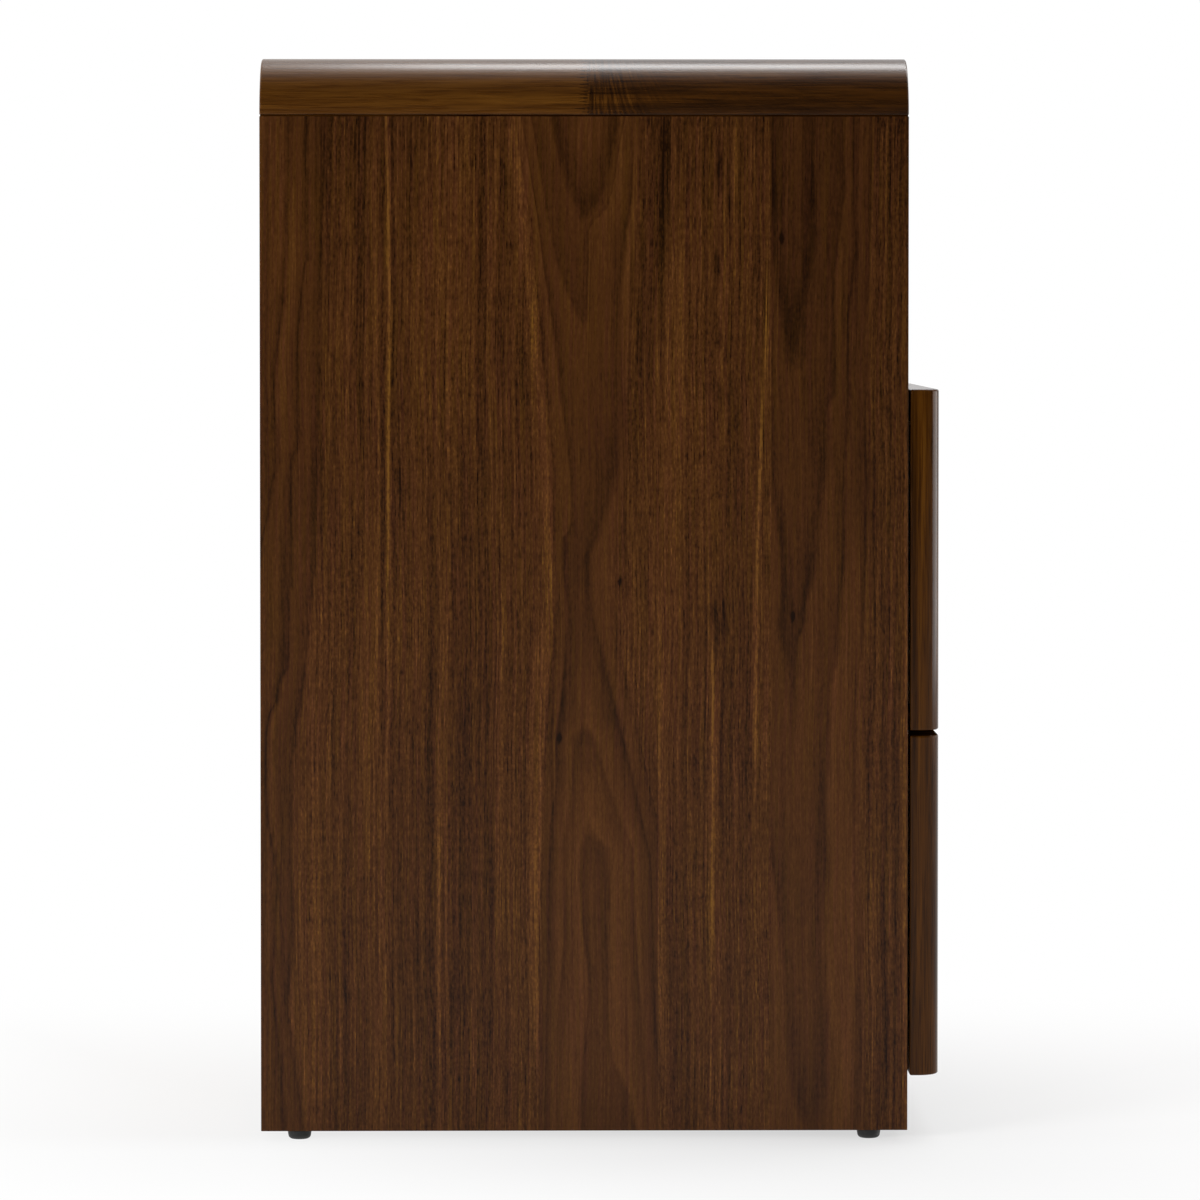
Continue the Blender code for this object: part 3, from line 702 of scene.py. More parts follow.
class Nodes:
    """Short way to write the nodes of a material or of the world."""

    def __init__(self, owner):
        self.owner = owner
        owner.use_nodes = True
        self.tree = owner.node_tree
        self.shader = self.tree.nodes.get("Principled BSDF")

    def add(self, kind, inputs=(), **settings):
        """New node with settings; inputs are (socket name or number, value or output)."""
        node = self.tree.nodes.new(kind)
        for key, value in settings.items():
            setattr(node, key, value)
        for socket, value in inputs:
            if isinstance(value, bpy.types.NodeSocket):
                self.tree.links.new(value, node.inputs[socket])
            else:
                node.inputs[socket].default_value = value
        return node

    def places(self):
        """Object coordinates, which here are places in the dresser."""
        return self.add("ShaderNodeTexCoord").outputs["Object"]

    def grain(self):
        """Across and along the grain, from the piece's own map."""
        return self.add("ShaderNodeUVMap", uv_map="grain").outputs["UV"]

    def stretch(self, vector, scale):
        """Vector with each part scaled."""
        return self.add("ShaderNodeVectorMath", [(0, vector), (1, scale)], operation="MULTIPLY").outputs[0]

    def noise(self, vector, scale, detail, rough=0.5):
        """Noise over a vector scaled part by part."""
        node = self.add("ShaderNodeTexNoise", [
            ("Vector", self.stretch(vector, scale)), ("Scale", 1.0), ("Detail", detail), ("Roughness", rough),
        ])
        return node.outputs["Fac"]

    def own_value(self, number):
        """Random value of its own for each whole number."""
        return self.add("ShaderNodeTexWhiteNoise", [("W", number)], noise_dimensions="1D").outputs["Value"]

    def math(self, operation, first, second=0.0, third=0.0):
        """Arithmetic on values or outputs."""
        inputs = [(0, first), (1, second), (2, third)]
        return self.add("ShaderNodeMath", inputs, operation=operation).outputs[0]

    def times(self, first, second):
        """First times second."""
        return self.math("MULTIPLY", first, second)

    def plus(self, first, second):
        """First plus second."""
        return self.math("ADD", first, second)

    def minus(self, first, second):
        """First less second."""
        return self.math("SUBTRACT", first, second)

    def scaled(self, value, factor, offset):
        """Value times factor, plus offset."""
        return self.math("MULTIPLY_ADD", value, factor, offset)

    def parts(self, vector):
        """The three parts of a vector."""
        return self.add("ShaderNodeSeparateXYZ", [(0, vector)]).outputs

    def remap(self, value, low, high, to_low=0.0, to_high=1.0, smooth=False):
        """Value carried from one range to another and kept inside it."""
        kind = "SMOOTHSTEP" if smooth else "LINEAR"
        node = self.add("ShaderNodeMapRange", [
            ("Value", value), ("From Min", low), ("From Max", high), ("To Min", to_low), ("To Max", to_high),
        ], interpolation_type=kind)
        return node.outputs["Result"]

    def ramp(self, value, stops):
        """Colour by value, through (place, colour) stops."""
        node = self.add("ShaderNodeValToRGB", [("Fac", value)])
        elements = node.color_ramp.elements
        while len(elements) < len(stops):
            elements.new(1.0)
        for element, (place, colour) in zip(elements, stops):
            element.position = place
            element.color = (*colour, 1.0)
        return node.outputs["Color"]

    def product(self, first, second):
        """Two colours multiplied."""
        inputs = [(0, 1.0), (6, first), (7, second)]
        return self.add("ShaderNodeMix", inputs, data_type="RGBA", blend_type="MULTIPLY").outputs[2]

    def sum(self, *terms):
        """Total of (output, weight) terms, each output counted from its middle of 0.5."""
        total = 0.5 - 0.5 * sum(weight for _, weight in terms)
        for output, weight in terms:
            total = self.scaled(output, weight, total)
        return total

    def edge_wear_and_highlight(self):
        """Rubbed spots on softened edges: wear, and in part a painted edge highlight."""
        edge = self.add("ShaderNodeAttribute", attribute_name="edge").outputs["Fac"]
        spots = self.noise(self.places(), (70.0, 70.0, 70.0), 3.0)
        return self.times(edge, self.remap(spots, 0.42, 0.60))

    def finish(self, colour, roughness, height, distance, strength):
        """Connect the colour, the roughness and the bump to the shader."""
        inputs = [("Height", height), ("Distance", distance), ("Strength", strength)]
        bump = self.add("ShaderNodeBump", inputs)
        self.tree.links.new(colour, self.shader.inputs["Base Color"])
        self.tree.links.new(roughness, self.shader.inputs["Roughness"])
        self.tree.links.new(bump.outputs["Normal"], self.shader.inputs["Normal"])
        return self.owner


WALNUT = (
    (0.00, (0.0080, 0.0027, 0.0006)),
    (0.25, (0.0285, 0.0096, 0.0023)),
    (0.50, (0.0525, 0.0180, 0.0043)),
    (0.75, (0.0830, 0.0300, 0.0074)),
    (1.00, (0.1400, 0.0580, 0.0105)),
)
WALNUT_TINTS = (
    (0.35, (1.00, 0.93, 1.20)),
    (0.65, (1.00, 1.07, 0.82)),
)


def ring_shading(n, ring, along, coarse):
    """Growth rings: darker up to a soft broken line, paler just outside it, weak where the leaf is coarse."""
    phase = n.math("FRACT", ring)
    outside = n.minus(1.0, phase)
    rings = n.add("ShaderNodeCombineXYZ", [(0, ring), (1, along)]).outputs[0]
    broken = n.remap(n.noise(rings, (1.0, 11.0, 0.0), 1.0), 0.36, 0.64, 0.1, 1.0)
    soft = n.remap(phase, 0.88, 1.0, 1.0, 0.0, True)
    line = n.times(n.math("POWER", phase, 6.0), soft)
    shade = n.times(n.times(n.math("POWER", phase, 2.2), soft), -0.13)
    glow = n.times(n.math("POWER", outside, 3.5), n.remap(phase, 0.0, 0.06, 0.0, 0.07))
    arch = n.scaled(n.times(line, broken), -0.34, n.plus(shade, glow))
    band = n.noise(rings, (0.45, 1.2, 0.0), 2.0)
    return n.times(arch, n.remap(coarse, 0.4, 1.0, 1.0, 0.35)), band


def walnut_veneer(name):
    """Walnut leaf: growth rings, fibres, specks and dark pores along the grain, with a tint that drifts."""
    n = Nodes(bpy.data.materials.new(name))
    grain = n.grain()
    across, along, _ = n.parts(grain)
    ring, tone, coarse = n.parts(n.add("ShaderNodeAttribute", attribute_name="figure").outputs["Vector"])
    own = n.own_value(n.math("FLOOR", ring))
    arch, band = ring_shading(n, ring, along, coarse)
    column = n.noise(grain, (300.0, 2.2, 0.0), 3.0, 0.75)
    wander = n.noise(grain, (40.0, 3.0, 0.0), 1.0)
    strand = n.math("FLOOR", n.scaled(across, 1000.0, n.times(wander, 3.0)))
    strands = n.add("ShaderNodeCombineXYZ", [(0, n.own_value(strand)), (1, along)]).outputs[0]
    fibre = n.noise(strands, (90.0, 9.0, 0.0), 2.0, 0.6)
    grit = n.noise(strands, (80.0, 60.0, 0.0), 2.0, 0.7)
    speck = n.noise(strands, (75.0, 230.0, 0.0), 1.0)
    pore = n.remap(n.noise(strands, (70.0, 70.0, 0.0), 1.0), 0.58, 0.70)
    weave = n.noise(grain, (560.0, 420.0, 0.0), 1.0)
    woven = n.remap(n.noise(grain, (22.0, 9.0, 0.0), 1.0), 0.42, 0.62)
    relief = n.noise(grain, (1000.0, 26.0, 0.0), 1.0)
    level = n.sum((band, 0.60), (own, 0.06))
    level = n.plus(n.plus(level, tone), arch)
    rough = n.scaled(coarse, 0.62, 0.24)
    mixed = n.sum((fibre, 1.0), (grit, 0.9), (speck, 0.9), (column, 1.2))
    level = n.scaled(n.minus(mixed, 0.5), rough, level)
    crossed = n.times(n.minus(weave, 0.5), n.times(woven, coarse))
    level = n.scaled(crossed, 0.40, level)
    level = n.scaled(pore, n.scaled(coarse, -0.16, -0.03), level)
    level = n.plus(level, n.scaled(coarse, 0.01, 0.03))
    edge_wear_and_highlight = n.edge_wear_and_highlight()
    # Lighter on rubbed edges: wear, and in part a painted edge highlight.
    level = n.scaled(edge_wear_and_highlight, 0.16, level)
    tint = n.ramp(n.noise(strands, (60.0, 8.0, 0.0), 2.0), WALNUT_TINTS)
    colour = n.product(n.ramp(level, WALNUT), tint)
    roughness = n.scaled(edge_wear_and_highlight, 0.12, n.scaled(relief, 0.10, 0.15))
    n.shader.inputs["Specular IOR Level"].default_value = 0.10
    return n.finish(colour, roughness, relief, 0.00006, 0.4)


STAINED = (
    (0.00, (0.0095, 0.0028, 0.0002)),
    (0.35, (0.0270, 0.0086, 0.0007)),
    (0.60, (0.0560, 0.0184, 0.0016)),
    (1.00, (0.1100, 0.0415, 0.0045)),
)


def drawn_out(axis, along, across):
    """Scale of a noise that is drawn out along one axis."""
    return [along if number == axis else across for number in range(3)]


def stained_grain(n, axis):
    """Tone and fibres of solid wood whose grain runs along one axis of the dresser."""
    places = n.places()
    fibre = n.noise(places, drawn_out(axis, 16.0, 620.0), 2.0, 0.6)
    band = n.noise(places, drawn_out(axis, 2.0, 70.0), 2.0)
    flow = n.noise(places, drawn_out(axis, 4.0, 180.0), 2.0)
    tone = n.sum((band, 0.7), (flow, 0.6), (fibre, 0.6))
    thread = n.remap(n.noise(places, drawn_out(axis, 28.0, 900.0), 2.0, 0.6), 0.50, 0.64)
    return n.scaled(thread, -0.20, n.plus(tone, 0.06)), fibre


def stained_finish(n, tone, fibre, gloss, shine):
    """Stain and lacquer over a tone, lighter and duller where edges are rubbed: wear, and in part a painted
    edge highlight.
    """
    edge_wear_and_highlight = n.edge_wear_and_highlight()
    colour = n.ramp(n.scaled(edge_wear_and_highlight, 0.12, tone), STAINED)
    roughness = n.scaled(edge_wear_and_highlight, 0.10, n.scaled(fibre, 0.10, gloss))
    n.shader.inputs["Specular IOR Level"].default_value = shine
    return n.finish(colour, roughness, fibre, 0.00006, 0.4)


def stained_wood(name, axis, gloss, shine, lift=0.06):
    """Solid wood under a dark stain, its grain along one axis of the dresser."""
    n = Nodes(bpy.data.materials.new(name))
    tone, fibre = stained_grain(n, axis)
    return stained_finish(n, n.plus(tone, lift), fibre, gloss, shine)


def jointed_rail(name, gloss, shine):
    """Rail glued from two lengths, golden behind and darker in front, which meet in a finger joint.

    Both are painted paler towards the crown, a painted light from above. In front of the joint slanting
    flecks run out from it like a fan.
    """
    n = Nodes(bpy.data.materials.new(name))
    tone, fibre = stained_grain(n, 1)
    _, y, z = n.parts(n.places())
    pitch = n.math("FRACT", n.times(z, 1.0 / FINGER_PITCH))
    saw = n.math("ABSOLUTE", n.minus(pitch, 0.5))
    tip = n.math("POWER", n.times(saw, 2.0), 1.2)
    ragged = n.noise(n.places(), (0.0, 0.0, 300.0), 1.0)
    reach = n.times(tip, n.remap(ragged, 0.35, 0.65, 0.5 * FINGER_LENGTH, 1.3 * FINGER_LENGTH))
    behind = n.minus(y, FINGER_PLACE)
    ahead = n.minus(behind, reach)
    front = n.remap(ahead, 0.0003, -0.0003)
    near = n.times(front, n.remap(ahead, -0.060, -0.012, 0.15, 1.0))
    fan = n.times(behind, n.remap(z, SEAM_Z, TOP, 1.0, 1.6))
    flecks = n.add("ShaderNodeCombineXYZ", [(1, fan), (2, z)]).outputs[0]
    fleck = n.remap(n.noise(flecks, (0.0, 400.0, 45.0), 2.0, 0.6), 0.36, 0.64, -0.36, 0.24)
    glue = n.times(n.remap(n.math("ABSOLUTE", ahead), 0.0010, 0.0), 0.30)
    # Painted top light: paler towards the crown.
    tone = n.plus(tone, n.remap(z, 0.760, 0.788, 0.02, 0.36))
    tone = n.scaled(front, -0.30, tone)
    tone = n.scaled(near, fleck, tone)
    return stained_finish(n, n.minus(tone, glue), fibre, gloss, shine)


def end_strip(name, gloss, shine):
    """Solid strip at the end of a front, its grain upright, with painted shade that darkens it towards its
    back edge, beside the side panel.
    """
    n = Nodes(bpy.data.materials.new(name))
    tone, fibre = stained_grain(n, 2)
    _, y, _ = n.parts(n.places())
    # Painted shade of the side panel: darker towards the strip's back edge.
    edge = n.remap(y, FRONT_BACK - 0.009, FRONT_BACK, 0.02, -0.34, True)
    return stained_finish(n, n.plus(tone, edge), fibre, gloss, shine)


MAPLE = (
    (0.15, (0.29, 0.165, 0.075)),
    (0.50, (0.43, 0.275, 0.140)),
    (0.85, (0.56, 0.390, 0.220)),
)
PLY = (
    (0.15, (0.25, 0.150, 0.075)),
    (0.50, (0.39, 0.255, 0.140)),
    (0.85, (0.50, 0.350, 0.205)),
)


def pale_finish(n, tone, fibre, stops, gloss):
    """Bare pale wood over a tone, lighter where edges are rubbed: wear, and in part a painted edge highlight.
    """
    colour = n.ramp(n.scaled(n.edge_wear_and_highlight(), 0.10, tone), stops)
    roughness = n.scaled(fibre, 0.16, gloss)
    return n.finish(colour, roughness, fibre, 0.00008, 0.4)


def pale_wood(name, axis):
    """Light wood of the drawer boxes, its grain along one axis."""
    n = Nodes(bpy.data.materials.new(name))
    places = n.places()
    band = n.noise(places, drawn_out(axis, 1.6, 45.0), 3.0)
    fibre = n.noise(places, drawn_out(axis, 12.0, 420.0), 2.0, 0.6)
    return pale_finish(n, n.sum((band, 1.0), (fibre, 0.6)), fibre, MAPLE, 0.42)


def plywood(name):
    """Peeled veneer along X: lines of equal height of a slow noise, short pores and fine fibres."""
    n = Nodes(bpy.data.materials.new(name))
    places = n.places()
    hills = n.noise(places, (0.9, 6.0, 6.0), 2.0, 0.45)
    phase = n.math("FRACT", n.times(hills, 22.0))
    contour = n.times(n.math("POWER", phase, 3.0), n.remap(phase, 0.90, 1.0, 1.0, 0.0, True))
    band = n.noise(places, (1.2, 30.0, 30.0), 2.0)
    fibre = n.noise(places, (14.0, 700.0, 700.0), 2.0, 0.7)
    pore = n.remap(n.noise(places, (60.0, 900.0, 900.0), 1.0), 0.58, 0.70)
    tone = n.sum((band, 0.7), (fibre, 0.9))
    tone = n.scaled(contour, -0.20, n.plus(tone, 0.06))
    return pale_finish(n, n.scaled(pore, -0.16, tone), fibre, PLY, 0.50)


def black_plastic(name):
    """Moulded black plastic with a fine speckle and rubbed spots."""
    n = Nodes(bpy.data.materials.new(name))
    places = n.places()
    speckle = n.noise(places, (2600.0, 2600.0, 2600.0), 2.0)
    rubbed = n.noise(places, (180.0, 180.0, 180.0), 3.0)
    tone = n.sum((speckle, 0.5), (rubbed, 0.8))
    colour = n.ramp(tone, ((0.2, (0.006, 0.006, 0.006)), (0.8, (0.016, 0.0155, 0.015))))
    roughness = n.scaled(rubbed, 0.25, 0.42)
    return n.finish(colour, roughness, speckle, 0.00005, 0.5)


VENEER = walnut_veneer("walnut_veneer")
SOLID_ALONG_X = stained_wood("stained_wood_along_x", 0, 0.30, 0.2)
SOLID_JOINTED_TOP_LIT = jointed_rail("stained_jointed_painted_top_light", 0.23, 0.50)
SOLID_END_BACK_SHADED = end_strip("stained_end_strip_painted_back_shade", 0.06, 0.11)
# Painted shade: wood stained much darker and dull, for faces that show only inside gaps and seams.
PAINTED_GAP_SHADE = stained_wood("painted_shade_in_gaps", 1, 0.70, 0.0, -0.30)
DRAWER_ALONG_X = pale_wood("drawer_wood_along_x", 0)
DRAWER_ALONG_Y = pale_wood("drawer_wood_along_y", 1)
PLYWOOD = plywood("plywood_along_x")
PLASTIC = black_plastic("foot_plastic")


# Case

def add_veneered(name, shape, node, figure, body="case"):
    """Put a board into the scene that is veneered all over."""
    add_piece(name, shape, body, [node], [VENEER], figure)


def side_panel(column, side):
    """Veneered upright panel."""
    low = [min(side * INNER_HALF, side * OUTER_HALF), CASE_FRONT, CASE_BOTTOM]
    high = [max(side * INNER_HALF, side * OUTER_HALF), CASE_BACK, SEAM_Z - SEAM_BELOW]
    across, height = side_stations(side)
    shape = eased_board(low, high, SIDE_EASE, SIDE_GRID, ((), across, height))
    add_veneered(f"veneered_side_{column}", shape, f"side_panel_{column}", side_figure(side))


def seam_tongue(column, side):
    """Tongues of the side and of the top that stand in the rail and close both seams, in wood darkened as the
    seams' painted shade.
    """
    front, back = CASE_FRONT + TONGUE_INSET, CASE_BACK - TONGUE_INSET
    face, crown = OUTER_HALF - SEAM_DEPTH, TOP - SEAM_DEPTH
    upright = (
        (face - TONGUE_THICKNESS, front, SEAM_Z - 2 * TONGUE_REACH),
        (face, back, SEAM_Z + TONGUE_REACH),
    )
    flat = (
        (SEAM_X - 2 * TONGUE_REACH, front, crown - TONGUE_THICKNESS),
        (SEAM_X + TONGUE_REACH, back, crown),
    )
    for name, node, (low, high) in (("side", f"side_panel_{column}", upright), ("top", "top_panel", flat)):
        board = eased_board(low, high, [THIN_EASE] * 3, PLAIN_GRID)
        add_piece(f"tongue_{name}_{column}", flipped(board, side), "case", [node],
                  [PAINTED_GAP_SHADE])


def rail_outline():
    """Quarter ring with softened corners at both seams, about the centre of the corner."""
    turn = np.linspace(0.0, np.pi / 2, RAIL_STEPS + 1)
    circle = np.stack([np.cos(turn), np.sin(turn)], axis=1)
    soft = np.linspace(-np.pi / 2, 0.0, 4)
    curl = np.stack([np.cos(soft), np.sin(soft)], axis=1)
    start = np.array([CORNER_RADIUS - SEAM_EASE, SEAM_ABOVE + SEAM_EASE]) + SEAM_EASE * curl
    outer = CORNER_RADIUS * circle[1:-1]
    points = np.concatenate([
        [[CORNER_INNER_RADIUS, SEAM_ABOVE]], start, outer, start[::-1, ::-1],
        [[SEAM_ABOVE, CORNER_INNER_RADIUS]], CORNER_INNER_RADIUS * circle[::-4][1:-1],
    ])
    outward = np.concatenate([
        [[0.0, -1.0]], curl, circle[1:-1], curl[::-1, ::-1], [[-1.0, 0.0]], -circle[::-4][1:-1],
    ])
    return points, outward


def corner_rail(column, side):
    """Solid quarter-round rail between the side and the top."""
    outline, outward = rail_outline()
    along, inset, lean = eased_run(CASE_FRONT, CASE_BACK, EDGE_EASE, RAIL_GRID)
    reach = np.hypot(outline[:, 0], outline[:, 1])[:, None]
    pull = np.where(reach > CORNER_RADIUS - 0.001, outline / reach, 0.0)
    rail = laid(loft(outline, outward, along, inset, lean, pull), [0, 2, 1])
    shape = flipped(moved(rail, (SEAM_X, 0.0, SEAM_Z)), side)
    add_piece(f"round_rail_{column}", shape, "case", [f"corner_rail_{column}"],
              [SOLID_JOINTED_TOP_LIT], edge_axes=(1,))


def top_panel():
    """Veneered top between the corner rails."""
    end = SEAM_X - SEAM_BELOW
    shape = eased_board((-end, CASE_FRONT, UNDER_TOP), (end, CASE_BACK, TOP), TOP_EASE, TOP_GRID)
    add_veneered("veneered_top", shape, "top_panel", lying_figure(TOP_SEED, TOP_LEAF, 1, TOP))


def bottom_panel():
    """Veneered bottom between the sides."""
    end = INNER_HALF - JOINT_GAP
    low, high = (-end, CASE_FRONT, CASE_BOTTOM), (end, CASE_BACK, BOTTOM_TOP)
    shape = eased_board(low, high, INNER_EASE, BOTTOM_GRID)
    figure = lying_figure(BOTTOM_SEED, TOP_LEAF, 1, CASE_BOTTOM)
    add_veneered("veneered_bottom", shape, "bottom_panel", figure)


def centre_divider():
    """Upright board between the two bays."""
    low = (-DIVIDER_HALF, DIVIDER_FRONT, BOTTOM_TOP)
    high = (DIVIDER_HALF, BACK_PANEL_FRONT - JOINT_GAP, UNDER_TOP)
    shape = eased_board(low, high, INNER_EASE, DIVIDER_GRID)
    add_veneered("upright_divider", shape, "centre_divider", upright_figure(DIVIDER_SEED))


def plain_board(name, node, body, material, ease):
    """Softened board in the place of a CAD box."""
    low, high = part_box(node)
    shape = eased_board(low, high, [ease] * 3, PLAIN_GRID)
    add_piece(name, shape, body, [node], [material])


def feet():
    """Six turned feet."""
    turn = np.arange(FOOT_STEPS) * 2 * np.pi / FOOT_STEPS
    outward = np.stack([np.cos(turn), np.sin(turn)], axis=1)
    bend = np.linspace(0.0, np.pi / 2, 6)
    sole_inset = FOOT_DRAFT + FOOT_EDGE * (1.0 - np.sin(bend))
    rim = np.linspace(0.0, np.pi / 2, 4)
    sole = FOOT_EDGE * (1.0 - np.cos(bend))
    along = np.concatenate([sole, FOOT_HEIGHT - THIN_EASE * (1.0 - np.cos(rim[::-1]))])
    inset = np.concatenate([sole_inset, THIN_EASE * (1.0 - np.sin(rim[::-1]))])
    lean = np.concatenate([-np.cos(bend), np.cos(rim[::-1])])
    shape = loft(FOOT_RADIUS * outward, outward, along, inset, lean)
    for depth in ("front", "back"):
        for column in ("left", "centre", "right"):
            node = f"foot_{depth}_{column}"
            low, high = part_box(node)
            middle = (low + high) / 2
            add_piece(f"turned_{node}", moved(shape, (middle[0], middle[1], 0.0)), "case", [node],
                      [PLASTIC], edge_axes=(2,))


def case():
    """Shell, bottom, divider, rails, runners and feet."""
    for column, side in COLUMNS:
        side_panel(column, side)
        corner_rail(column, side)
        seam_tongue(column, side)
        plain_board(f"bay_rail_{column}", f"drawer_rail_{column}", "case",
                    SOLID_ALONG_X, EDGE_EASE)
        for row in ROWS:
            for place in ("outer", "inner"):
                node = f"runner_{row}_{column}_{place}"
                plain_board(f"wooden_{node}", node, "case", DRAWER_ALONG_Y, RUNNER_EASE)
    top_panel()
    bottom_panel()
    centre_divider()
    feet()
    back = frame["nodes"]["back_panel"]
    back.data.materials.clear()
    back.data.materials.append(PLYWOOD)


# Drawers

def proud_front(row, column, side):
    """Veneered front with a solid strip at its outer end, round in front, and dull and darkened with painted
    shade where it faces the gap between rows.
    """
    node = f"drawer_{row}_{column}_front"
    low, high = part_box(node)
    start, end = sorted((abs(low[0]), abs(high[0])))
    face, back = low[1] - END_PROUD, high[1]
    joint = end - END_STRIP
    stations = np.append(np.arange(start + 0.008, joint - 0.004, PROUD_GRID), joint)
    front_line = np.stack([stations, np.full_like(stations, face)], axis=1)
    back_line = np.stack([stations[::-1], np.full_like(stations, back)], axis=1)
    corners = [(start, face), (end, face), (end, back), (start, back)]
    radii = (FRONT_CORNER, END_RADIUS, FRONT_CORNER, FRONT_CORNER)
    outline, outward = filleted(corners, radii, FRONT_CORNER_STEPS, {0: front_line, 2: back_line})
    shape = flipped(loft(outline, outward, *eased_run(low[2], high[2], EDGE_EASE, PROUD_GRID)), side)

    # Faces in the gap between rows take the material of painted shade.
    def part(at):
        in_gap = at[:, 2] > high[2] - GAP_FACE if row == "lower" else at[:, 2] < low[2] + GAP_FACE
        return np.where(in_gap, 2, np.abs(at[:, 0]) > joint)

    add_piece(f"proud_front_{row}_{column}", shape, f"drawer_{row}_{column}", [node],
              [VENEER, SOLID_END_BACK_SHADED, PAINTED_GAP_SHADE], lying_figure(PROUD_SEED, PROUD_LEAF, 2, face), part, (2,))


def inset_front(row, column, side):
    """Veneered front that closes inside the case, its upper outer corner round like the rail."""
    node = f"drawer_{row}_{column}_front"
    low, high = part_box(node)
    end = high[0] if side > 0 else low[0]
    centre = (end - side * UPPER_CORNER_RADIUS, high[2] - UPPER_CORNER_RADIUS)
    fan = UPPER_CORNER_RADIUS * np.tan(np.linspace(0.0, np.pi / 4, 8))[:-1]
    lines = (centre[0] + side * fan, (), centre[1] + fan)
    board = eased_board(low, high, [EDGE_EASE] * 3, INSET_GRID, lines)
    shape = round_corner(board, centre, side)
    figure = lying_figure(INSET_SEED, INSET_LEAF, 2, low[1])
    add_veneered(f"inset_front_{row}_{column}", shape, node, figure, f"drawer_{row}_{column}")


def box_side(row, column, hand):
    """Drawer side with a groove for the runner outside and one for the bottom inside."""
    node = f"drawer_{row}_{column}_side_{hand}"
    low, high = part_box(node)
    runner_low, runner_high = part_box(f"runner_{row}_{column}_outer")
    bottom_low, bottom_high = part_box(f"drawer_{row}_{column}_bottom")
    inwards = 1 if hand == "left" else -1
    groove_low, groove_high = runner_low[2] - RUNNER_UNDER, runner_high[2] + JOINT_GAP
    floor_low, floor_high = bottom_low[2] - JOINT_GAP, bottom_high[2] + JOINT_GAP
    corners = [
        (0.0, low[2]), (SIDE_THICKNESS, low[2]), (SIDE_THICKNESS, floor_low),
        (SIDE_THICKNESS - BOTTOM_GROOVE, floor_low), (SIDE_THICKNESS - BOTTOM_GROOVE, floor_high),
        (SIDE_THICKNESS, floor_high), (SIDE_THICKNESS, high[2]), (0.0, high[2]),
        (0.0, groove_high), (RUNNER_GROOVE, groove_high), (RUNNER_GROOVE, groove_low), (0.0, groove_low),
    ]
    radii = np.full(len(corners), THIN_EASE)
    radii[[0, 1]] = BOX_LOWER_EDGE
    radii[[6, 7]] = BOX_UPPER_EDGE
    outline, outward = filleted(corners, radii, GROOVE_CORNER_STEPS)
    board = laid(loft(outline, outward, *eased_run(low[1], high[1], BOX_END_EASE, BOX_GRID)), [0, 2, 1])
    outer = low[0] if hand == "left" else high[0]
    shape = moved(flipped(board, inwards), (outer, 0.0, 0.0))
    add_piece(f"box_side_{row}_{column}_{hand}", shape, f"drawer_{row}_{column}", [node],
              [DRAWER_ALONG_Y], edge_axes=(1,))


def drawer(row, column, side):
    """Front, sides, back and bottom of one drawer."""
    body = f"drawer_{row}_{column}"
    make_front = inset_front if row == "upper" else proud_front
    make_front(row, column, side)
    for hand in ("left", "right"):
        box_side(row, column, hand)
    plain_board(f"box_back_{row}_{column}", f"{body}_back", body, DRAWER_ALONG_X, EDGE_EASE)
    plain_board(f"box_bottom_{row}_{column}", f"{body}_bottom", body, PLYWOOD, THIN_EASE)


case()
for row_name in ROWS:
    for column_name, side_sign in COLUMNS:
        drawer(row_name, column_name, side_sign)


# Studio

CAMERA_AT = (-4.65, 0.047, 0.618)
CAMERA_AIM = (-0.75, -0.0005, 0.5062)
LENS = 158.87
SENSOR = 36.0
PICTURE_SHIFT = -0.12
FLOOR_HALF = 12.0


def aimed(name, data, at, aim):
    """Put a camera or a lamp into the scene, turned towards a point."""
    made = bpy.data.objects.new(name, data)
    made.location = at
    made.rotation_euler = (Vector(aim) - Vector(at)).to_track_quat("-Z", "Y").to_euler()
    bpy.context.scene.collection.objects.link(made)
    return made


def camera():
    """Camera before the left side, at the photo's height and distance."""
    data = bpy.data.cameras.new("camera")
    data.lens = LENS
    data.sensor_width = SENSOR
    data.shift_y = PICTURE_SHIFT
    bpy.context.scene.camera = aimed("camera", data, CAMERA_AT, CAMERA_AIM)


def lamp(name, at, aim, size, power, spread=180.0, mirrored=True):
    """Soft rectangular lamp turned towards a point, wide or narrowed, which shiny faces may mirror or not."""
    data = bpy.data.lights.new(name, "AREA")
    data.shape = "RECTANGLE"
    data.size, data.size_y = size
    data.energy = power
    data.spread = np.radians(spread)
    aimed(name, data, at, aim).visible_glossy = mirrored


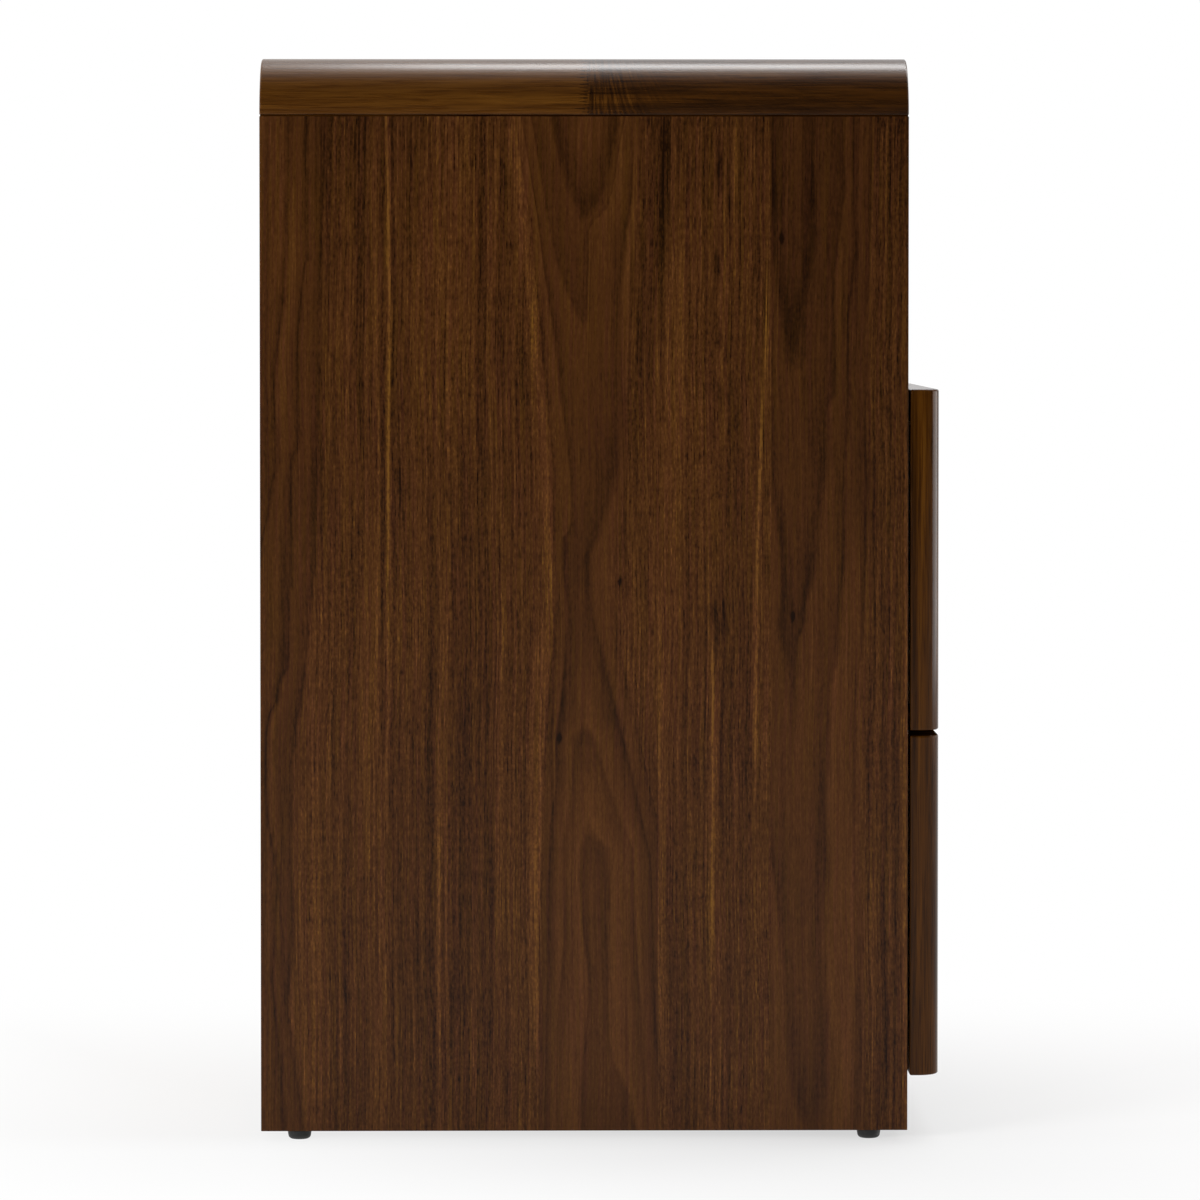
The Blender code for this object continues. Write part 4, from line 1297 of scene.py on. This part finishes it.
def floor():
    """Pale floor that keeps the shadow, lightened by a painted glow, and turns white further out.

    In the photo's view it also turns white from the dresser's middle on. That leaves out the strip behind the
    right side, which the dresser hides there, so that the right side has its shadow too.
    """
    n = Nodes(bpy.data.materials.new("pale_floor"))
    places = n.places()
    mesh = bpy.data.meshes.new("pale_floor")
    corners = [(FLOOR_HALF * x, FLOOR_HALF * y, 0.0) for x, y in ((-1, -1), (1, -1), (1, 1), (-1, 1))]
    mesh.from_pydata(corners, [], [(0, 1, 2, 3)])
    mesh.materials.append(n.owner)
    made = bpy.data.objects.new("pale_floor", mesh)
    bpy.context.scene.collection.objects.link(made)
    x, y, _ = n.parts(places)
    beyond_x = n.math("MAXIMUM", n.minus(n.math("ABSOLUTE", x), OUTER_HALF), 0.0)
    beyond_y = n.math("MAXIMUM", n.minus(n.math("ABSOLUTE", y), CASE_BACK), 0.0)
    distance = n.math("SQRT", n.plus(n.times(beyond_x, beyond_x),
                                     n.times(beyond_y, beyond_y)))
    # Painted light: the glow's share sets how much of the dresser's shadow shows, a little less just in front
    # of it.
    before = n.remap(x, -0.72, -0.80, 0.0, 0.09)
    near = n.plus(n.remap(y, -CASE_BACK, CASE_BACK, 0.58, 0.82), before)
    reach = n.remap(y, -CASE_BACK, CASE_BACK, 0.62, 0.38)
    outwards = n.remap(n.math("DIVIDE", distance, reach), 0.0, 1.0, 0.0, 1.0, True)
    aside = n.remap(n.math("ABSOLUTE", y), 0.22, 0.32, 0.0, 1.0, True)
    hidden = n.times(n.remap(x, 0.45, OUTER_HALF), n.minus(1.0, aside))
    backwards = n.times(n.remap(x, -0.60, 0.10, 0.0, 1.0, True), n.minus(1.0, hidden))
    far = n.math("MAXIMUM", outwards, backwards)
    white = n.scaled(far, n.minus(1.0, near), near)
    path = n.add("ShaderNodeLightPath").outputs
    through = n.math("MAXIMUM", path["Is Camera Ray"], path["Is Transmission Ray"])
    mirrored = n.times(path["Is Glossy Ray"], n.remap(x, -8.0, -2.0, 0.0, 1.0))
    share = n.times(white, n.math("MAXIMUM", through, mirrored))
    n.shader.inputs["Base Color"].default_value = (0.85, 0.85, 0.85, 1.0)
    n.shader.inputs["Roughness"].default_value = 1.0
    n.shader.inputs["Specular IOR Level"].default_value = 0.0
    glow = n.add("ShaderNodeEmission", [("Strength", 1.0)])
    joined = n.add("ShaderNodeMixShader", [(0, share), (1, n.shader.outputs[0]), (2, glow.outputs[0])])
    n.tree.links.new(joined.outputs[0], n.tree.nodes["Material Output"].inputs["Surface"])


def world():
    """White for the camera and for what mirrors the backdrop; backdrop and dark room light the rest."""
    n = Nodes(bpy.data.worlds.new("studio"))
    direction = n.add("ShaderNodeTexCoord").outputs["Generated"]
    backdrop = n.remap(n.parts(direction)[0], -0.25, 0.35, 0.0, 1.0, True)
    path = n.add("ShaderNodeLightPath").outputs
    mirrored = n.times(path["Is Glossy Ray"], backdrop)
    through = n.math("MAXIMUM", path["Is Camera Ray"], path["Is Transmission Ray"])
    seen = n.math("MAXIMUM", through, mirrored)
    light = n.scaled(backdrop, 0.92, 0.03)
    level = n.scaled(seen, n.minus(1.0, light), light)
    background = n.tree.nodes["Background"]
    background.inputs["Color"].default_value = (1.0, 1.0, 1.0, 1.0)
    n.tree.links.new(level, background.inputs["Strength"])
    bpy.context.scene.world = n.owner


camera()
floor()
world()
lamp("overhead_strip", (0.27, -0.93, 2.60), (0.27, -0.93, 0.0), (0.7, 2.35), 43.0)
lamp("side_left", (-3.9, 4.0, 0.7), (-0.75, 0.0, -0.1), (2.2, 2.2), 56.0, 70.0, False)
lamp("side_right", (-2.0, -4.2, 0.7), (-0.75, 0.0, 0.3), (1.8, 1.8), 60.0, 180.0, False)
lamp("front_fill", (0.6, -4.4, 1.0), (0.0, -0.25, 0.35), (3.4, 1.6), 55.0, 180.0, False)
lamp("front_low", (0.6, -4.4, 0.35), (0.6, 0.0, 0.35), (3.4, 0.66), 33.0)
bpy.context.scene.view_settings.view_transform = "Standard"
